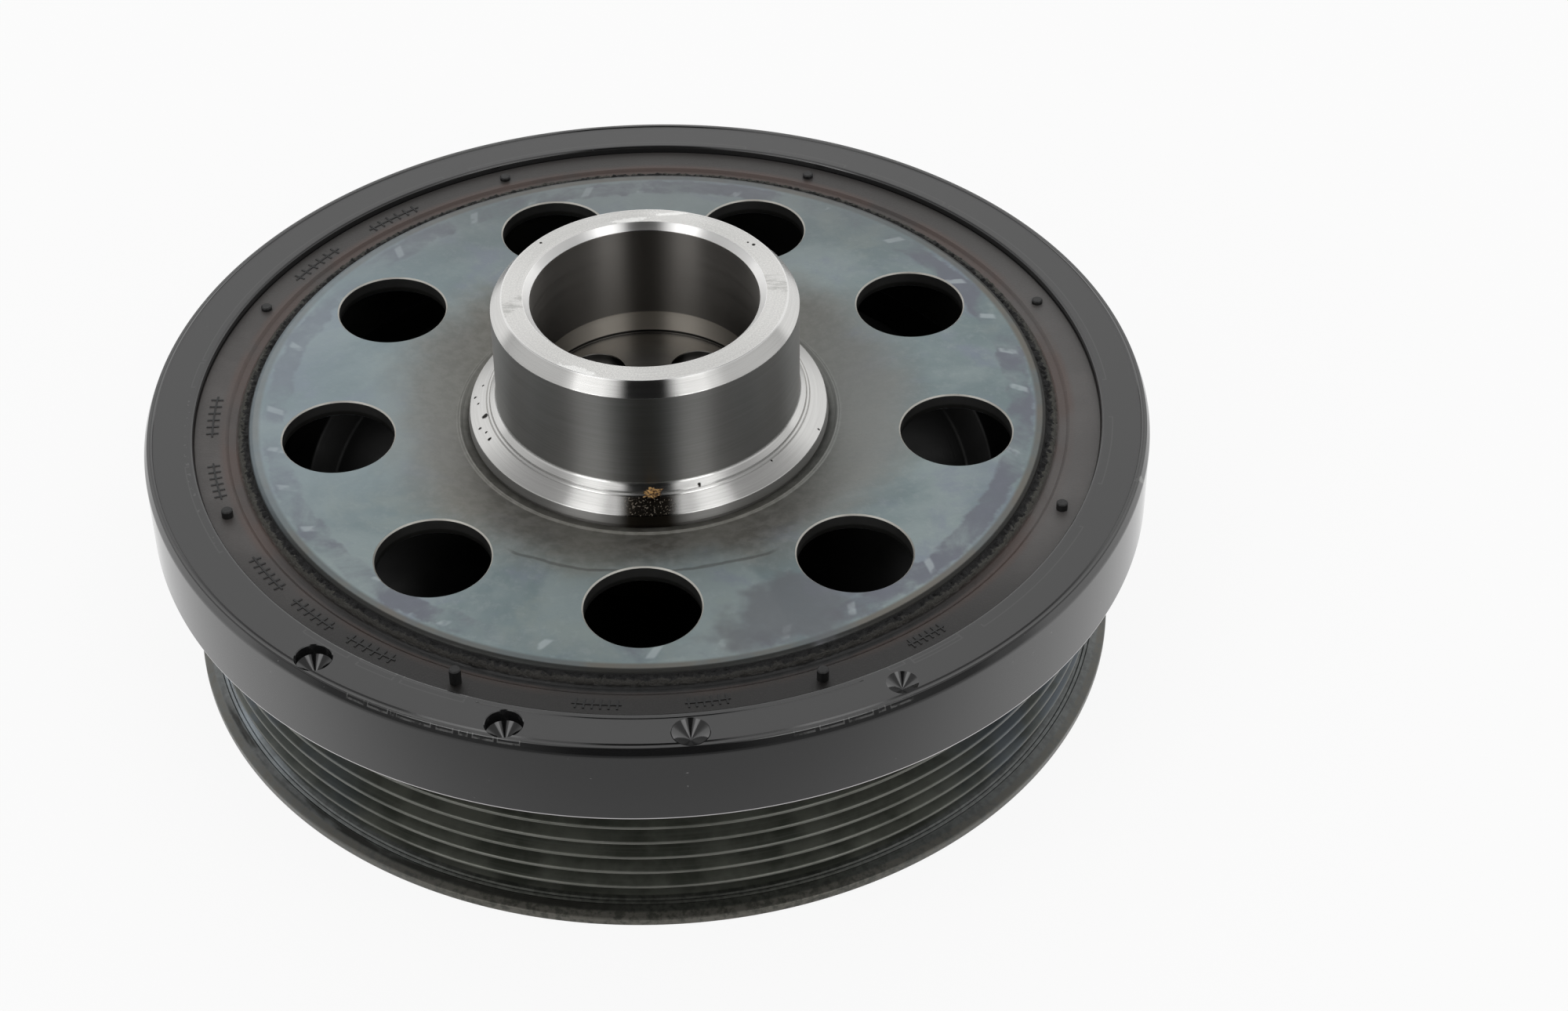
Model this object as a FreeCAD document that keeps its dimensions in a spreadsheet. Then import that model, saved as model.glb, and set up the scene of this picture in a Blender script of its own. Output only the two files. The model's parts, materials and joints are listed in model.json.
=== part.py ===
"""Harmonic balancer with a seven-groove belt pulley, seen from the engine side.

A turned hub carries a pressed disc and a belt pulley. A rubber ring bonded to the rim of the
disc holds a heavy inertia ring, which damps the twisting vibration of the crankshaft.
The axis is Z, the pulley's lower rim stands on z = 0 and the nose of the hub points up.
"""
import FreeCAD, Part
import math
import os
import Sketcher

doc = FreeCAD.newDocument("harmonic_balancer")
sheet = doc.addObject("Spreadsheet::Sheet", "sizes")


class Size:
    """A value together with the spreadsheet expression that gives it."""

    def __init__(self, value, text):
        self.value = value
        self.text = text

    def __add__(self, other):
        return Size(self.value + other.value, "(%s + %s)" % (self.text, other.text))

    def __sub__(self, other):
        return Size(self.value - other.value, "(%s - %s)" % (self.text, other.text))

    def __mul__(self, other):
        return Size(self.value * other.value, "(%s * %s)" % (self.text, other.text))

    def __truediv__(self, other):
        return Size(self.value / other.value, "(%s / %s)" % (self.text, other.text))


def size(name, value):
    """Writes one driving dimension to the spreadsheet and returns it."""
    size.row += 1
    sheet.set("A%d" % size.row, name)
    sheet.set("B%d" % size.row, str(value))
    sheet.setAlias("B%d" % size.row, name)
    return Size(float(value), "sizes." + name)


size.row = 0


def tangent(angle):
    return Size(math.tan(math.radians(angle.value)), "tan(%s * 1 deg)" % angle.text)


def cosine(angle):
    return Size(math.cos(math.radians(angle.value)), "cos(%s * 1 deg)" % angle.text)


def sine(angle):
    return Size(math.sin(math.radians(angle.value)), "sin(%s * 1 deg)" % angle.text)


ONE = Size(1.0, "1")
HALF = Size(0.5, "0.5")

# Belt pulley: seven V grooves between two flanges, on a web that seats on the hub
groove_count = size("groove_count", 7)
groove_pitch = size("groove_pitch", 3.56)
groove_half_angle = size("groove_half_angle", 20)
groove_root_width = size("groove_root_width", 0.86)
groove_depth = size("groove_depth", 2.9)
crest_radius = size("crest_radius", 81.7)
flange_height = size("flange_height", 3.2)
flange_to_first_groove = size("flange_to_first_groove", 4.22)
drum_wall = size("drum_wall", 3.0)
web_thickness = size("web_thickness", 3.2)
web_corner_chamfer = size("web_corner_chamfer", 1.5)
web_step_outer_radius = size("web_step_outer_radius", 62.5)
web_step_width = size("web_step_width", 4.1)
web_step_drop = size("web_step_drop", 2.8)

# Pressed carrier disc: nine round holes, a dished centre and a drum that the rubber grips
disc_radius = size("disc_radius", 71.5)
disc_thickness = size("disc_thickness", 3.2)
disc_edge_chamfer = size("disc_edge_chamfer", 0.9)
disc_inner_chamfer = size("disc_inner_chamfer", 1.2)
disc_dish_depth = size("disc_dish_depth", 2.6)
disc_dish_to_holes = size("disc_dish_to_holes", 0.75)
disc_hole_count = size("disc_hole_count", 9)
disc_hole_radius = size("disc_hole_radius", 9.95)
disc_edge_to_hole_circle = size("disc_edge_to_hole_circle", 15.8)
drum_above_ring_bottom = size("drum_above_ring_bottom", 0.35)

# Bonded rubber ring with a raised flash beside the disc, a shallow trough and eight torn sprues
rubber_width = size("rubber_width", 9.8)
rubber_recess = size("rubber_recess", 1.35)
rubber_bottom_recess = size("rubber_bottom_recess", 0.9)
flash_recess = size("flash_recess", 0.6)
flash_width = size("flash_width", 1.8)
trough_slope_width = size("trough_slope_width", 0.9)
trough_width = size("trough_width", 1.4)
trough_depth = size("trough_depth", 0.45)
sprue_radius = size("sprue_radius", 1.0)
disc_to_sprue_circle = size("disc_to_sprue_circle", 6.6)
sprue_root_depth = size("sprue_root_depth", 0.5)
first_sprue_angle = size("first_sprue_angle", 22.3)
sprue_spacing_angle = size("sprue_spacing_angle", 45)
flat_sprue_height = size("flat_sprue_height", 0.8)
short_sprue_height = size("short_sprue_height", 1.5)
long_sprue_height = size("long_sprue_height", 2.2)
tall_sprue_height = size("tall_sprue_height", 3.0)
sprue_heights = [
    flat_sprue_height,
    flat_sprue_height,
    flat_sprue_height,
    flat_sprue_height,
    short_sprue_height,
    tall_sprue_height,
    long_sprue_height,
    short_sprue_height,
]

# Inertia ring, held just above the pulley
ring_wall = size("ring_wall", 8.7)
ring_thickness = size("ring_thickness", 15.55)
ring_to_pulley_gap = size("ring_to_pulley_gap", 1.05)
ring_top_chamfer = size("ring_top_chamfer", 0.7)
ring_edge_chamfer = size("ring_edge_chamfer", 0.4)

# Balance drillings in the top face of the inertia ring, each with its angle and depth
ring_edge_to_drillings = size("ring_edge_to_drillings", 4.0)
drill_radius = size("drill_radius", 3.1)
drill_point_half_angle = size("drill_point_half_angle", 59)
first_drill_angle = size("first_drill_angle", 231.4)
first_drill_depth = size("first_drill_depth", 2.9)
second_drill_angle = size("second_drill_angle", 255.4)
second_drill_depth = size("second_drill_depth", 3.3)
third_drill_angle = size("third_drill_angle", 275.5)
third_drill_depth = size("third_drill_depth", 1.9)
fourth_drill_angle = size("fourth_drill_angle", 299.6)
fourth_drill_depth = size("fourth_drill_depth", 1.6)
drillings = [
    (first_drill_angle, first_drill_depth),
    (second_drill_angle, second_drill_depth),
    (third_drill_angle, third_drill_depth),
    (fourth_drill_angle, fourth_drill_depth),
]

# Turned hub: seal nose, bore for the end of the crankshaft, floor with four bolt holes
bore_radius = size("bore_radius", 20.2)
bore_chamfer = size("bore_chamfer", 0.9)
bore_relief_height = size("bore_relief_height", 5.0)
bore_relief_depth = size("bore_relief_depth", 0.35)
floor_below_disc_top = size("floor_below_disc_top", 0.4)
floor_thickness = size("floor_thickness", 12.0)
nose_wall = size("nose_wall", 7.0)
nose_above_disc = size("nose_above_disc", 23.9)
nose_chamfer_width = size("nose_chamfer_width", 2.0)
nose_chamfer_height = size("nose_chamfer_height", 2.4)
shoulder_start_above_disc = size("shoulder_start_above_disc", 3.0)
nose_to_shoulder_step = size("nose_to_shoulder_step", 1.4)
shoulder_step_above_disc = size("shoulder_step_above_disc", 1.9)
shoulder_step_width = size("shoulder_step_width", 0.3)
shoulder_step_drop = size("shoulder_step_drop", 0.35)
shoulder_width = size("shoulder_width", 4.9)
shoulder_edge_below_disc_top = size("shoulder_edge_below_disc_top", 0.4)
shoulder_side_height = size("shoulder_side_height", 1.8)
shoulder_side_flare = size("shoulder_side_flare", 0.3)
disc_seat_inset = size("disc_seat_inset", 0.1)
lip_chamfer = size("lip_chamfer", 1.6)
seat_flange_width = size("seat_flange_width", 6.0)
seat_flange_thickness = size("seat_flange_thickness", 4.0)
hub_waist_radius = size("hub_waist_radius", 32.0)
hub_waist_taper_height = size("hub_waist_taper_height", 3.0)
pulley_seat_inset = size("pulley_seat_inset", 4.0)
pulley_seat_stand_out = size("pulley_seat_stand_out", 0.6)
socket_wall = size("socket_wall", 4.5)
bolt_hole_count = size("bolt_hole_count", 4)
bolt_hole_radius = size("bolt_hole_radius", 5.25)
bolt_circle_radius = size("bolt_circle_radius", 13.0)
first_bolt_angle = size("first_bolt_angle", 46.7)

# Radii that several pieces or features share
axis = ground = Size(0.0, "0")
groove_root_radius = crest_radius - groove_depth
flange_radius = crest_radius + flange_height
drum_inside_radius = groove_root_radius - drum_wall
ring_inside_radius = disc_radius + rubber_width
ring_radius = ring_inside_radius + ring_wall
disc_hole_circle_radius = disc_radius - disc_edge_to_hole_circle
nose_radius = bore_radius + nose_wall
shoulder_radius = nose_radius + shoulder_width
disc_seat_radius = shoulder_radius - disc_seat_inset
pulley_seat_radius = hub_waist_radius - pulley_seat_inset

# Heights above the pulley's lower rim that several pieces share
first_groove_height = flange_to_first_groove
pulley_top = flange_to_first_groove + groove_pitch * (groove_count - ONE) + flange_to_first_groove
web_top = pulley_top - web_step_drop
ring_bottom = pulley_top + ring_to_pulley_gap
disc_top = ring_bottom + ring_thickness

# Numbers by which a sketch names its axes and the points of its lines and circles
HORIZONTAL_AXIS = -1
VERTICAL_AXIS = HORIZONTAL_AXIS - 1
START = 1
END = START + 1
CENTRE = END + 1
SKETCH_ORIGIN = (HORIZONTAL_AXIS, START)

FULL_ANGLE = 360
TINY = 0.001

doc.recompute()


def new_body(name):
    body = doc.addObject("PartDesign::Body", name)
    body.Label = name
    return body


def origin_feature(body, role):
    for feature in body.Origin.OriginFeatures:
        if feature.Role == role:
            return feature


def new_sketch(body, name, role):
    sketch = body.newObject("Sketcher::SketchObject", name)
    sketch.AttachmentSupport = (origin_feature(body, role), [""])
    sketch.MapMode = "FlatFace"
    return sketch


def bind(thing, name, wanted):
    thing.setExpression(name, wanted.text)


def hold(sketch, kind, first, second, wanted):
    """Sets a distance between two points of a sketch, each given as geometry and point."""
    index = sketch.addConstraint(Sketcher.Constraint(kind, *first, *second, wanted.value))
    bind(sketch, "Constraints[%d]" % index, wanted)


def pin(sketch, point, across, up):
    """Holds a point of a sketch at its distances from the origin."""
    directions = [("DistanceX", across, VERTICAL_AXIS), ("DistanceY", up, HORIZONTAL_AXIS)]
    for kind, wanted, zero_line in directions:
        if wanted is axis:
            sketch.addConstraint(Sketcher.Constraint("PointOnObject", *point, zero_line))
        else:
            hold(sketch, kind, SKETCH_ORIGIN, point, wanted)


def outline(sketch, corners):
    """Draws a closed outline through corners, each a distance from the axis and a height."""
    points = [FreeCAD.Vector(across.value, up.value, 0) for across, up in corners]
    following = points[1:] + points[:1]
    for start, end in zip(points, following):
        sketch.addGeometry(Part.LineSegment(start, end), False)
    for line, corner in enumerate(corners):
        after = (line + 1) % len(corners)
        sketch.addConstraint(Sketcher.Constraint("Coincident", line, END, after, START))
        pin(sketch, (line, START), *corner)


def turned_body(name, corners):
    """A body turned about Z from its half section."""
    body = new_body(name)
    sketch = new_sketch(body, name + "_section", "XZ_Plane")
    outline(sketch, corners)
    turning = body.newObject("PartDesign::Revolution", name + "_turning")
    turning.Profile = sketch
    turning.ReferenceAxis = (sketch, ["V_Axis"])
    turning.Angle = FULL_ANGLE
    doc.recompute()
    return body


def circle_names(body, circles):
    """Names of the body's circular edges at the given radii and heights."""
    names = []
    for radius, height in circles:
        for number, edge in enumerate(body.Shape.Edges, 1):
            if edge.Curve.TypeId != "Part::GeomCircle":
                continue
            same_radius = abs(edge.Curve.Radius - radius.value) < TINY
            same_height = abs(edge.Curve.Center.z - height.value) < TINY
            if same_radius and same_height:
                names.append("Edge%d" % number)
    return names


def break_edges(body, name, amount, circles):
    """Chamfers the body's circular edges at the given radii and heights."""
    base = (body.Tip, circle_names(body, circles))
    chamfer = body.newObject("PartDesign::Chamfer", name)
    chamfer.Base = base
    bind(chamfer, "Size", amount)
    body.Tip = chamfer
    doc.recompute()


def polar_pattern(body, feature, name, count):
    pattern = body.newObject("PartDesign::PolarPattern", name)
    pattern.Originals = [feature]
    pattern.Axis = (origin_feature(body, "Z_Axis"), [""])
    pattern.Angle = FULL_ANGLE
    bind(pattern, "Occurrences", count)
    body.Tip = pattern
    doc.recompute()


def round_hole(body, name, radius, across, up):
    """Cuts a round hole right through at its distances from the axis."""
    sketch = new_sketch(body, name + "_circle", "XY_Plane")
    centre = FreeCAD.Vector(across.value, up.value, 0)
    sketch.addGeometry(Part.Circle(centre, FreeCAD.Vector(0, 0, 1), radius.value), False)
    pin(sketch, (0, CENTRE), across, up)
    index = sketch.addConstraint(Sketcher.Constraint("Radius", 0, radius.value))
    bind(sketch, "Constraints[%d]" % index, radius)
    pocket = body.newObject("PartDesign::Pocket", name)
    pocket.Profile = sketch
    pocket.Type = "ThroughAll"
    pocket.Reversed = True
    doc.recompute()
    return pocket


def make_pulley():
    """Spun pulley: a grooved drum and a stepped web with the hub's spigot hole."""
    flank = tangent(groove_half_angle)
    root_edge = first_groove_height - groove_root_width * HALF
    crest_edge = root_edge - (crest_radius - groove_root_radius) * flank
    rim_edge = root_edge - (flange_radius - groove_root_radius) * flank
    web_step_inner_radius = web_step_outer_radius - web_step_width
    web_outer_bottom = pulley_top - web_thickness
    web_bottom = web_top - web_thickness
    body = turned_body("pulley", [
        (drum_inside_radius, ground),
        (flange_radius, ground),
        (flange_radius, rim_edge),
        (crest_radius, crest_edge),
        (crest_radius, pulley_top - crest_edge),
        (flange_radius, pulley_top - rim_edge),
        (flange_radius, pulley_top),
        (web_step_outer_radius, pulley_top),
        (web_step_inner_radius, web_top),
        (pulley_seat_radius, web_top),
        (pulley_seat_radius, web_bottom),
        (web_step_inner_radius, web_bottom),
        (web_step_outer_radius, web_outer_bottom),
        (drum_inside_radius, web_outer_bottom),
    ])
    break_edges(body, "web_corner", web_corner_chamfer, [(drum_inside_radius, web_outer_bottom)])

    sketch = new_sketch(body, "groove_section", "XZ_Plane")
    root_half_width = groove_root_width * HALF
    crest_half_width = root_half_width + (crest_radius - groove_root_radius) * flank
    outline(sketch, [
        (groove_root_radius, first_groove_height - root_half_width),
        (crest_radius, first_groove_height - crest_half_width),
        (crest_radius, first_groove_height + crest_half_width),
        (groove_root_radius, first_groove_height + root_half_width),
    ])
    groove = body.newObject("PartDesign::Groove", "first_groove")
    groove.Profile = sketch
    groove.ReferenceAxis = (sketch, ["V_Axis"])
    groove.Angle = FULL_ANGLE
    doc.recompute()
    pattern = body.newObject("PartDesign::LinearPattern", "grooves")
    pattern.Originals = [groove]
    pattern.Direction = (origin_feature(body, "Z_Axis"), [""])
    bind(pattern, "Length", groove_pitch * (groove_count - ONE))
    bind(pattern, "Occurrences", groove_count)
    body.Tip = pattern
    doc.recompute()
    return body


def make_inertia_ring():
    """Turned ring with drillings that balance it."""
    body = turned_body("inertia_ring", [
        (ring_inside_radius, ring_bottom),
        (ring_radius, ring_bottom),
        (ring_radius, disc_top),
        (ring_inside_radius, disc_top),
    ])
    break_edges(body, "ring_top_edge", ring_top_chamfer, [(ring_radius, disc_top)])
    break_edges(body, "ring_edges", ring_edge_chamfer, [
        (ring_inside_radius, disc_top),
        (ring_radius, ring_bottom),
        (ring_inside_radius, ring_bottom),
    ])
    drill_circle_radius = ring_radius - ring_edge_to_drillings
    point_height = drill_radius / tangent(drill_point_half_angle)
    for number, (angle, depth) in enumerate(drillings, 1):
        sketch = new_sketch(body, "drill_section_%d" % number, "XZ_Plane")
        turn = FreeCAD.Rotation(FreeCAD.Vector(0, 1, 0), angle.value)
        sketch.AttachmentOffset = FreeCAD.Placement(FreeCAD.Vector(), turn)
        bind(sketch, "AttachmentOffset.Rotation.Angle", angle)
        tip = disc_top - depth
        above = disc_top + depth + point_height
        outline(sketch, [
            (drill_circle_radius, tip),
            (drill_circle_radius + drill_radius, tip + point_height),
            (drill_circle_radius + drill_radius, above),
            (drill_circle_radius, above),
        ])
        centre_line = Part.LineSegment(
            FreeCAD.Vector(drill_circle_radius.value, tip.value, 0),
            FreeCAD.Vector(drill_circle_radius.value, above.value, 0))
        line = sketch.addGeometry(centre_line, True)
        sketch.addConstraint(Sketcher.Constraint("Coincident", line, START, 0, START))
        sketch.addConstraint(Sketcher.Constraint("Coincident", line, END, 3, START))
        drilling = body.newObject("PartDesign::Groove", "drilling_%d" % number)
        drilling.Profile = sketch
        drilling.ReferenceAxis = (sketch, ["Axis0"])
        drilling.Angle = FULL_ANGLE
        doc.recompute()
    return body


def make_carrier_disc():
    """Pressed disc: a dished centre round the hub, nine holes and a drum at its rim."""
    dish = disc_top - disc_dish_depth
    dish_radius = disc_hole_circle_radius - disc_hole_radius - disc_dish_to_holes
    drum_bottom = ring_bottom + drum_above_ring_bottom
    drum_inside = disc_radius - disc_thickness
    body = turned_body("carrier_disc", [
        (disc_seat_radius, dish - disc_thickness),
        (dish_radius, disc_top - disc_thickness),
        (drum_inside, disc_top - disc_thickness),
        (drum_inside, drum_bottom),
        (disc_radius, drum_bottom),
        (disc_radius, disc_top),
        (dish_radius, disc_top),
        (disc_seat_radius + lip_chamfer, dish),
        (disc_seat_radius, dish - lip_chamfer),
    ])
    break_edges(body, "disc_edge", disc_edge_chamfer, [(disc_radius, disc_top)])
    break_edges(body, "disc_inner_edge", disc_inner_chamfer, [
        (drum_inside, disc_top - disc_thickness),
    ])
    hole = round_hole(body, "disc_hole", disc_hole_radius, axis, ground - disc_hole_circle_radius)
    polar_pattern(body, hole, "disc_holes", disc_hole_count)
    return body


def make_damper_rubber():
    """Rubber bonded between the drum of the disc and the inertia ring."""
    face = disc_top - rubber_recess
    flash_top = disc_top - flash_recess
    flash_end = disc_radius + flash_width
    trough_start = flash_end + trough_slope_width
    trough_end = trough_start + trough_width
    body = turned_body("damper_rubber", [
        (disc_radius, ring_bottom + rubber_bottom_recess),
        (ring_inside_radius, ring_bottom + rubber_bottom_recess),
        (ring_inside_radius, face),
        (trough_end + trough_depth, face),
        (trough_end, face - trough_depth),
        (trough_start, face - trough_depth),
        (flash_end, flash_top),
        (disc_radius, flash_top),
    ])
    sprue_circle_radius = disc_radius + disc_to_sprue_circle
    angle = first_sprue_angle
    for number, height in enumerate(sprue_heights, 1):
        sprue = body.newObject("PartDesign::AdditiveCylinder", "sprue_%d" % number)
        bind(sprue, "Radius", sprue_radius)
        bind(sprue, "Height", height + sprue_root_depth)
        bind(sprue, "Placement.Base.x", sprue_circle_radius * cosine(angle))
        bind(sprue, "Placement.Base.y", sprue_circle_radius * sine(angle))
        bind(sprue, "Placement.Base.z", face - sprue_root_depth)
        angle = angle + sprue_spacing_angle
        doc.recompute()
    return body


def make_hub():
    """Turned hub, from its nose down to the spigot that centres the pulley."""
    nose_top = disc_top + nose_above_disc
    floor = disc_top - floor_below_disc_top
    relief_radius = bore_radius + bore_relief_depth
    step_radius = nose_radius + nose_to_shoulder_step
    step_height = disc_top + shoulder_step_above_disc
    shoulder_edge = disc_top - shoulder_edge_below_disc_top
    shoulder_foot = shoulder_edge - shoulder_side_height
    disc_seat = disc_top - disc_dish_depth - disc_thickness
    seat_flange_radius = disc_seat_radius + seat_flange_width
    flange_bottom = disc_seat - seat_flange_thickness
    socket_radius = pulley_seat_radius - socket_wall
    hub_bottom = web_top - web_thickness - pulley_seat_stand_out
    body = turned_body("hub", [
        (axis, floor - floor_thickness),
        (socket_radius, floor - floor_thickness),
        (socket_radius, hub_bottom),
        (pulley_seat_radius, hub_bottom),
        (pulley_seat_radius, web_top),
        (hub_waist_radius, web_top),
        (hub_waist_radius, flange_bottom - hub_waist_taper_height),
        (seat_flange_radius, flange_bottom),
        (seat_flange_radius, disc_seat),
        (disc_seat_radius, disc_seat),
        (disc_seat_radius, shoulder_foot - shoulder_side_flare),
        (shoulder_radius + shoulder_side_flare, shoulder_foot),
        (shoulder_radius, shoulder_edge),
        (step_radius + shoulder_step_width, step_height - shoulder_step_drop),
        (step_radius, step_height),
        (nose_radius, disc_top + shoulder_start_above_disc),
        (nose_radius, nose_top - nose_chamfer_height),
        (nose_radius - nose_chamfer_width, nose_top),
        (bore_radius + bore_chamfer, nose_top),
        (bore_radius, nose_top - bore_chamfer),
        (bore_radius, floor + bore_relief_height),
        (relief_radius, floor + bore_relief_height - bore_relief_depth),
        (relief_radius, floor),
        (axis, floor),
    ])
    hole = round_hole(body, "bolt_hole", bolt_hole_radius,
                      bolt_circle_radius * cosine(first_bolt_angle),
                      bolt_circle_radius * sine(first_bolt_angle))
    polar_pattern(body, hole, "bolt_holes", bolt_hole_count)
    return body


pieces = [
    make_hub(),
    make_carrier_disc(),
    make_damper_rubber(),
    make_inertia_ring(),
    make_pulley(),
]
doc.recompute()

for thing in doc.Objects:
    if "Invalid" in thing.State or "Error" in thing.State:
        raise RuntimeError("%s could not be made" % thing.Label)
for piece in pieces:
    if piece.Shape.isNull() or not piece.Shape.isValid():
        raise RuntimeError("%s has no valid shape" % piece.Label)

os.makedirs("parts", exist_ok=True)
for piece in pieces:
    piece.Shape.exportStep("parts/%s.step" % piece.Label)
    volume = piece.Shape.Volume / 1000
    print("%s: %d solid, %.2f cm3" % (piece.Label, len(piece.Shape.Solids), volume))
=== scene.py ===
"""Dresses the harmonic balancer: high-resolution turned pieces, finishes, studio and camera.

Outlines are half sections in millimetres, given as distance from the axis and height. The axis
is Z, the pulley's lower rim stands on z = 0 and angles are in degrees from the +X axis.
"""
import json
import math

import bmesh
import bpy
import numpy
from mathutils import Matrix, Vector, noise


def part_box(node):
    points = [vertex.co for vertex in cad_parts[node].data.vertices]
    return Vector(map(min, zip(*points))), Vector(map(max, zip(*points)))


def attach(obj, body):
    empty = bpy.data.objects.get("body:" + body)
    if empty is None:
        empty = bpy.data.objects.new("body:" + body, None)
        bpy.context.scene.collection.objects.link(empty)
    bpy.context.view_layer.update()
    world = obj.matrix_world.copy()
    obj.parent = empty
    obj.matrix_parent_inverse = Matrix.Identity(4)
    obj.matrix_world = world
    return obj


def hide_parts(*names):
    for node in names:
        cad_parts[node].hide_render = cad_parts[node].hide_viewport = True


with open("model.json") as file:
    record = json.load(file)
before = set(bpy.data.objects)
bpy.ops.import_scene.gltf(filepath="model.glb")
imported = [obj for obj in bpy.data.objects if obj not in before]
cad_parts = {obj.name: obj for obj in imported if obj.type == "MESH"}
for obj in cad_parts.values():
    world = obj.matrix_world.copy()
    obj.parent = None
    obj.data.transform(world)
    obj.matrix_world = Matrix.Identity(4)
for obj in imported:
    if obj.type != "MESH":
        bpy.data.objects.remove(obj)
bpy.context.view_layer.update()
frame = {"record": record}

MM = 0.001

# Sizes read from the frame
mounts = {mount["name"]: mount for mount in frame["record"]["mounts"]}


def lowest(node):
    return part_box(node)[0].z / MM


def highest(node):
    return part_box(node)[1].z / MM


def radius_of(node):
    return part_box(node)[1].x / MM


DISC_TOP = highest("carrier_disc")
DISC_RADIUS = radius_of("carrier_disc")
DRUM_BOTTOM = lowest("carrier_disc")
RING_BOTTOM = lowest("inertia_ring")
RING_RADIUS = radius_of("inertia_ring")
RUBBER_BOTTOM = lowest("damper_rubber")
RING_INSIDE = radius_of("damper_rubber")
NOSE_TOP = highest("hub")
HUB_BOTTOM = lowest("hub")
PULLEY_TOP = highest("pulley")
FLANGE_RADIUS = radius_of("pulley")
BORE_RADIUS = mounts["crank_bore"]["dims"]["r_mm"]
NOSE_RADIUS = mounts["seal_nose"]["dims"]["r_mm"]
FLOOR_HEIGHT = mounts["crank_face"]["pos_m"][2] / MM
BOLT_RADIUS = mounts["crank_bolts"]["dims"]["hole_r_mm"]
BOLT_CIRCLE = mounts["crank_bolts"]["dims"]["pcd_mm"] / 2
BOLT_COUNT = mounts["crank_bolts"]["dims"]["count"]
CREST_RADIUS = mounts["belt_track"]["dims"]["r_mm"]

# Carrier disc
DISC_THICKNESS = 3.2
DISH_DEPTH = 2.6
DISH_RADIUS = 43.6
DISH_BLEND = 20.0
DISC_EDGE = 0.7
DISC_INNER_EDGE = 2.0
DRUM_EDGE = 0.3
HOLE_COUNT = 9
HOLE_RADIUS = 9.95
HOLE_CIRCLE = 55.7
FIRST_HOLE_ANGLE = 270.0
HOLE_EDGE = 0.25
HOLE_UNDER_EDGE = 0.2
# The bead pressed round the hub: distance from the hub's seat, height over the dish, rounding
BEAD = ((2.6, 0.1, 0.4), (2.1, 0.42, 0.3), (1.5, 0.1, 0.3), (1.0, -0.1, 0.3))
BEAD_FOOT = -0.5

# Rubber, measured down from the top of the disc and out from its rim
RUBBER_RECESS = 1.35
FLASH_RECESS = 0.6
FLASH_WIDTH = 1.5
FLASH_ROUGHNESS = 0.45
TROUGH_START = 2.3
TROUGH_WIDTH = 1.4
TROUGH_DEPTH = 0.45
TROUGH_WALL = 0.6
JOINT_DEPTH = 0.15
RUBBER_STEP = 0.2
SPRUE_CIRCLE = 78.1
SPRUE_RADIUS = 1.0
FIRST_SPRUE_ANGLE = 22.3
SPRUE_HEIGHTS = (0.8, 0.8, 0.8, 0.8, 1.5, 3.0, 2.2, 1.5)

# Inertia ring
RING_EDGE_HEIGHT = 1.55
RING_EDGE_WIDTH = 0.65
RING_EDGE_ROUNDING = 1.6
RING_LIP = 82.55
RING_BAND = 88.4
BAND_HEIGHT = 0.15
BAND_OUTSIDE = 0.28
BAND_INSIDE = 0.12
DRILL_CIRCLE = 86.0
DRILL_RADIUS = 3.1
DRILL_MOUTH = 0.15
DRILL_TIP = 0.15
DRILL_POINT_HALF_ANGLE = 59.0
DRILLINGS = ((231.4, 3.9), (255.4, 4.2), (275.5, 1.9), (299.6, 1.6))

# Hub, its heights measured from the top of the disc
SHOULDER_DROP = 0.4
SHOULDER_RADIUS = 32.1
SHOULDER_SIDE = 1.8
# Two fine grooves on the shoulder: distance from the axis, height, rounding
SHOULDER_LINES = ((29.15, 1.40, 0.04), (29.02, 1.28, 0), (28.88, 1.56, 0.04),
                  (28.58, 1.74, 0.04), (28.46, 1.62, 0), (28.32, 1.98, 0.04))
NOSE_FOOT = 2.9
NOSE_FILLET = 0.9
NOSE_CHAMFER_WIDTH = 2.0
NOSE_CHAMFER_HEIGHT = 2.4
BORE_CHAMFER = 1.2
SEAT_RADIUS = 32.0
SEAT_FLANGE_RADIUS = 38.0
SEAT_FLANGE_THICKNESS = 4.0
SEAT_FLANGE_SLOPE = 3.0
WAIST_RADIUS = 32.0
PULLEY_SEAT_RADIUS = 28.0
SOCKET_RADIUS = 23.5
SOCKET_CEILING = 34.0
RELIEF_HEIGHT = 5.0
RELIEF_DEPTH = 0.35
FIRST_BOLT_ANGLE = 46.7

# Pulley
GROOVE_COUNT = 7
GROOVE_PITCH = 3.56
FIRST_GROOVE = 4.22
GROOVE_DEPTH = 2.9
GROOVE_ROOT_WIDTH = 0.86
GROOVE_SLOPE = math.tan(math.radians(20))
CREST_ROUNDING = 0.28
ROOT_ROUNDING = 0.3
# Two fine lines turned into the lower flange: distance from the axis and depth
FLANGE_LINES = ((82.35, 0), (82.15, 0.12), (81.95, 0), (81.70, 0), (81.50, 0.16), (81.25, 0))
DRUM_WALL = 3.0
WEB_THICKNESS = 3.2
WEB_DROP = 2.8
WEB_STEP_OUTER = 62.5
WEB_STEP_INNER = 58.4
WEB_STEP_ROUNDING = 1.0
WEB_CORNER = 2.0

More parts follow.
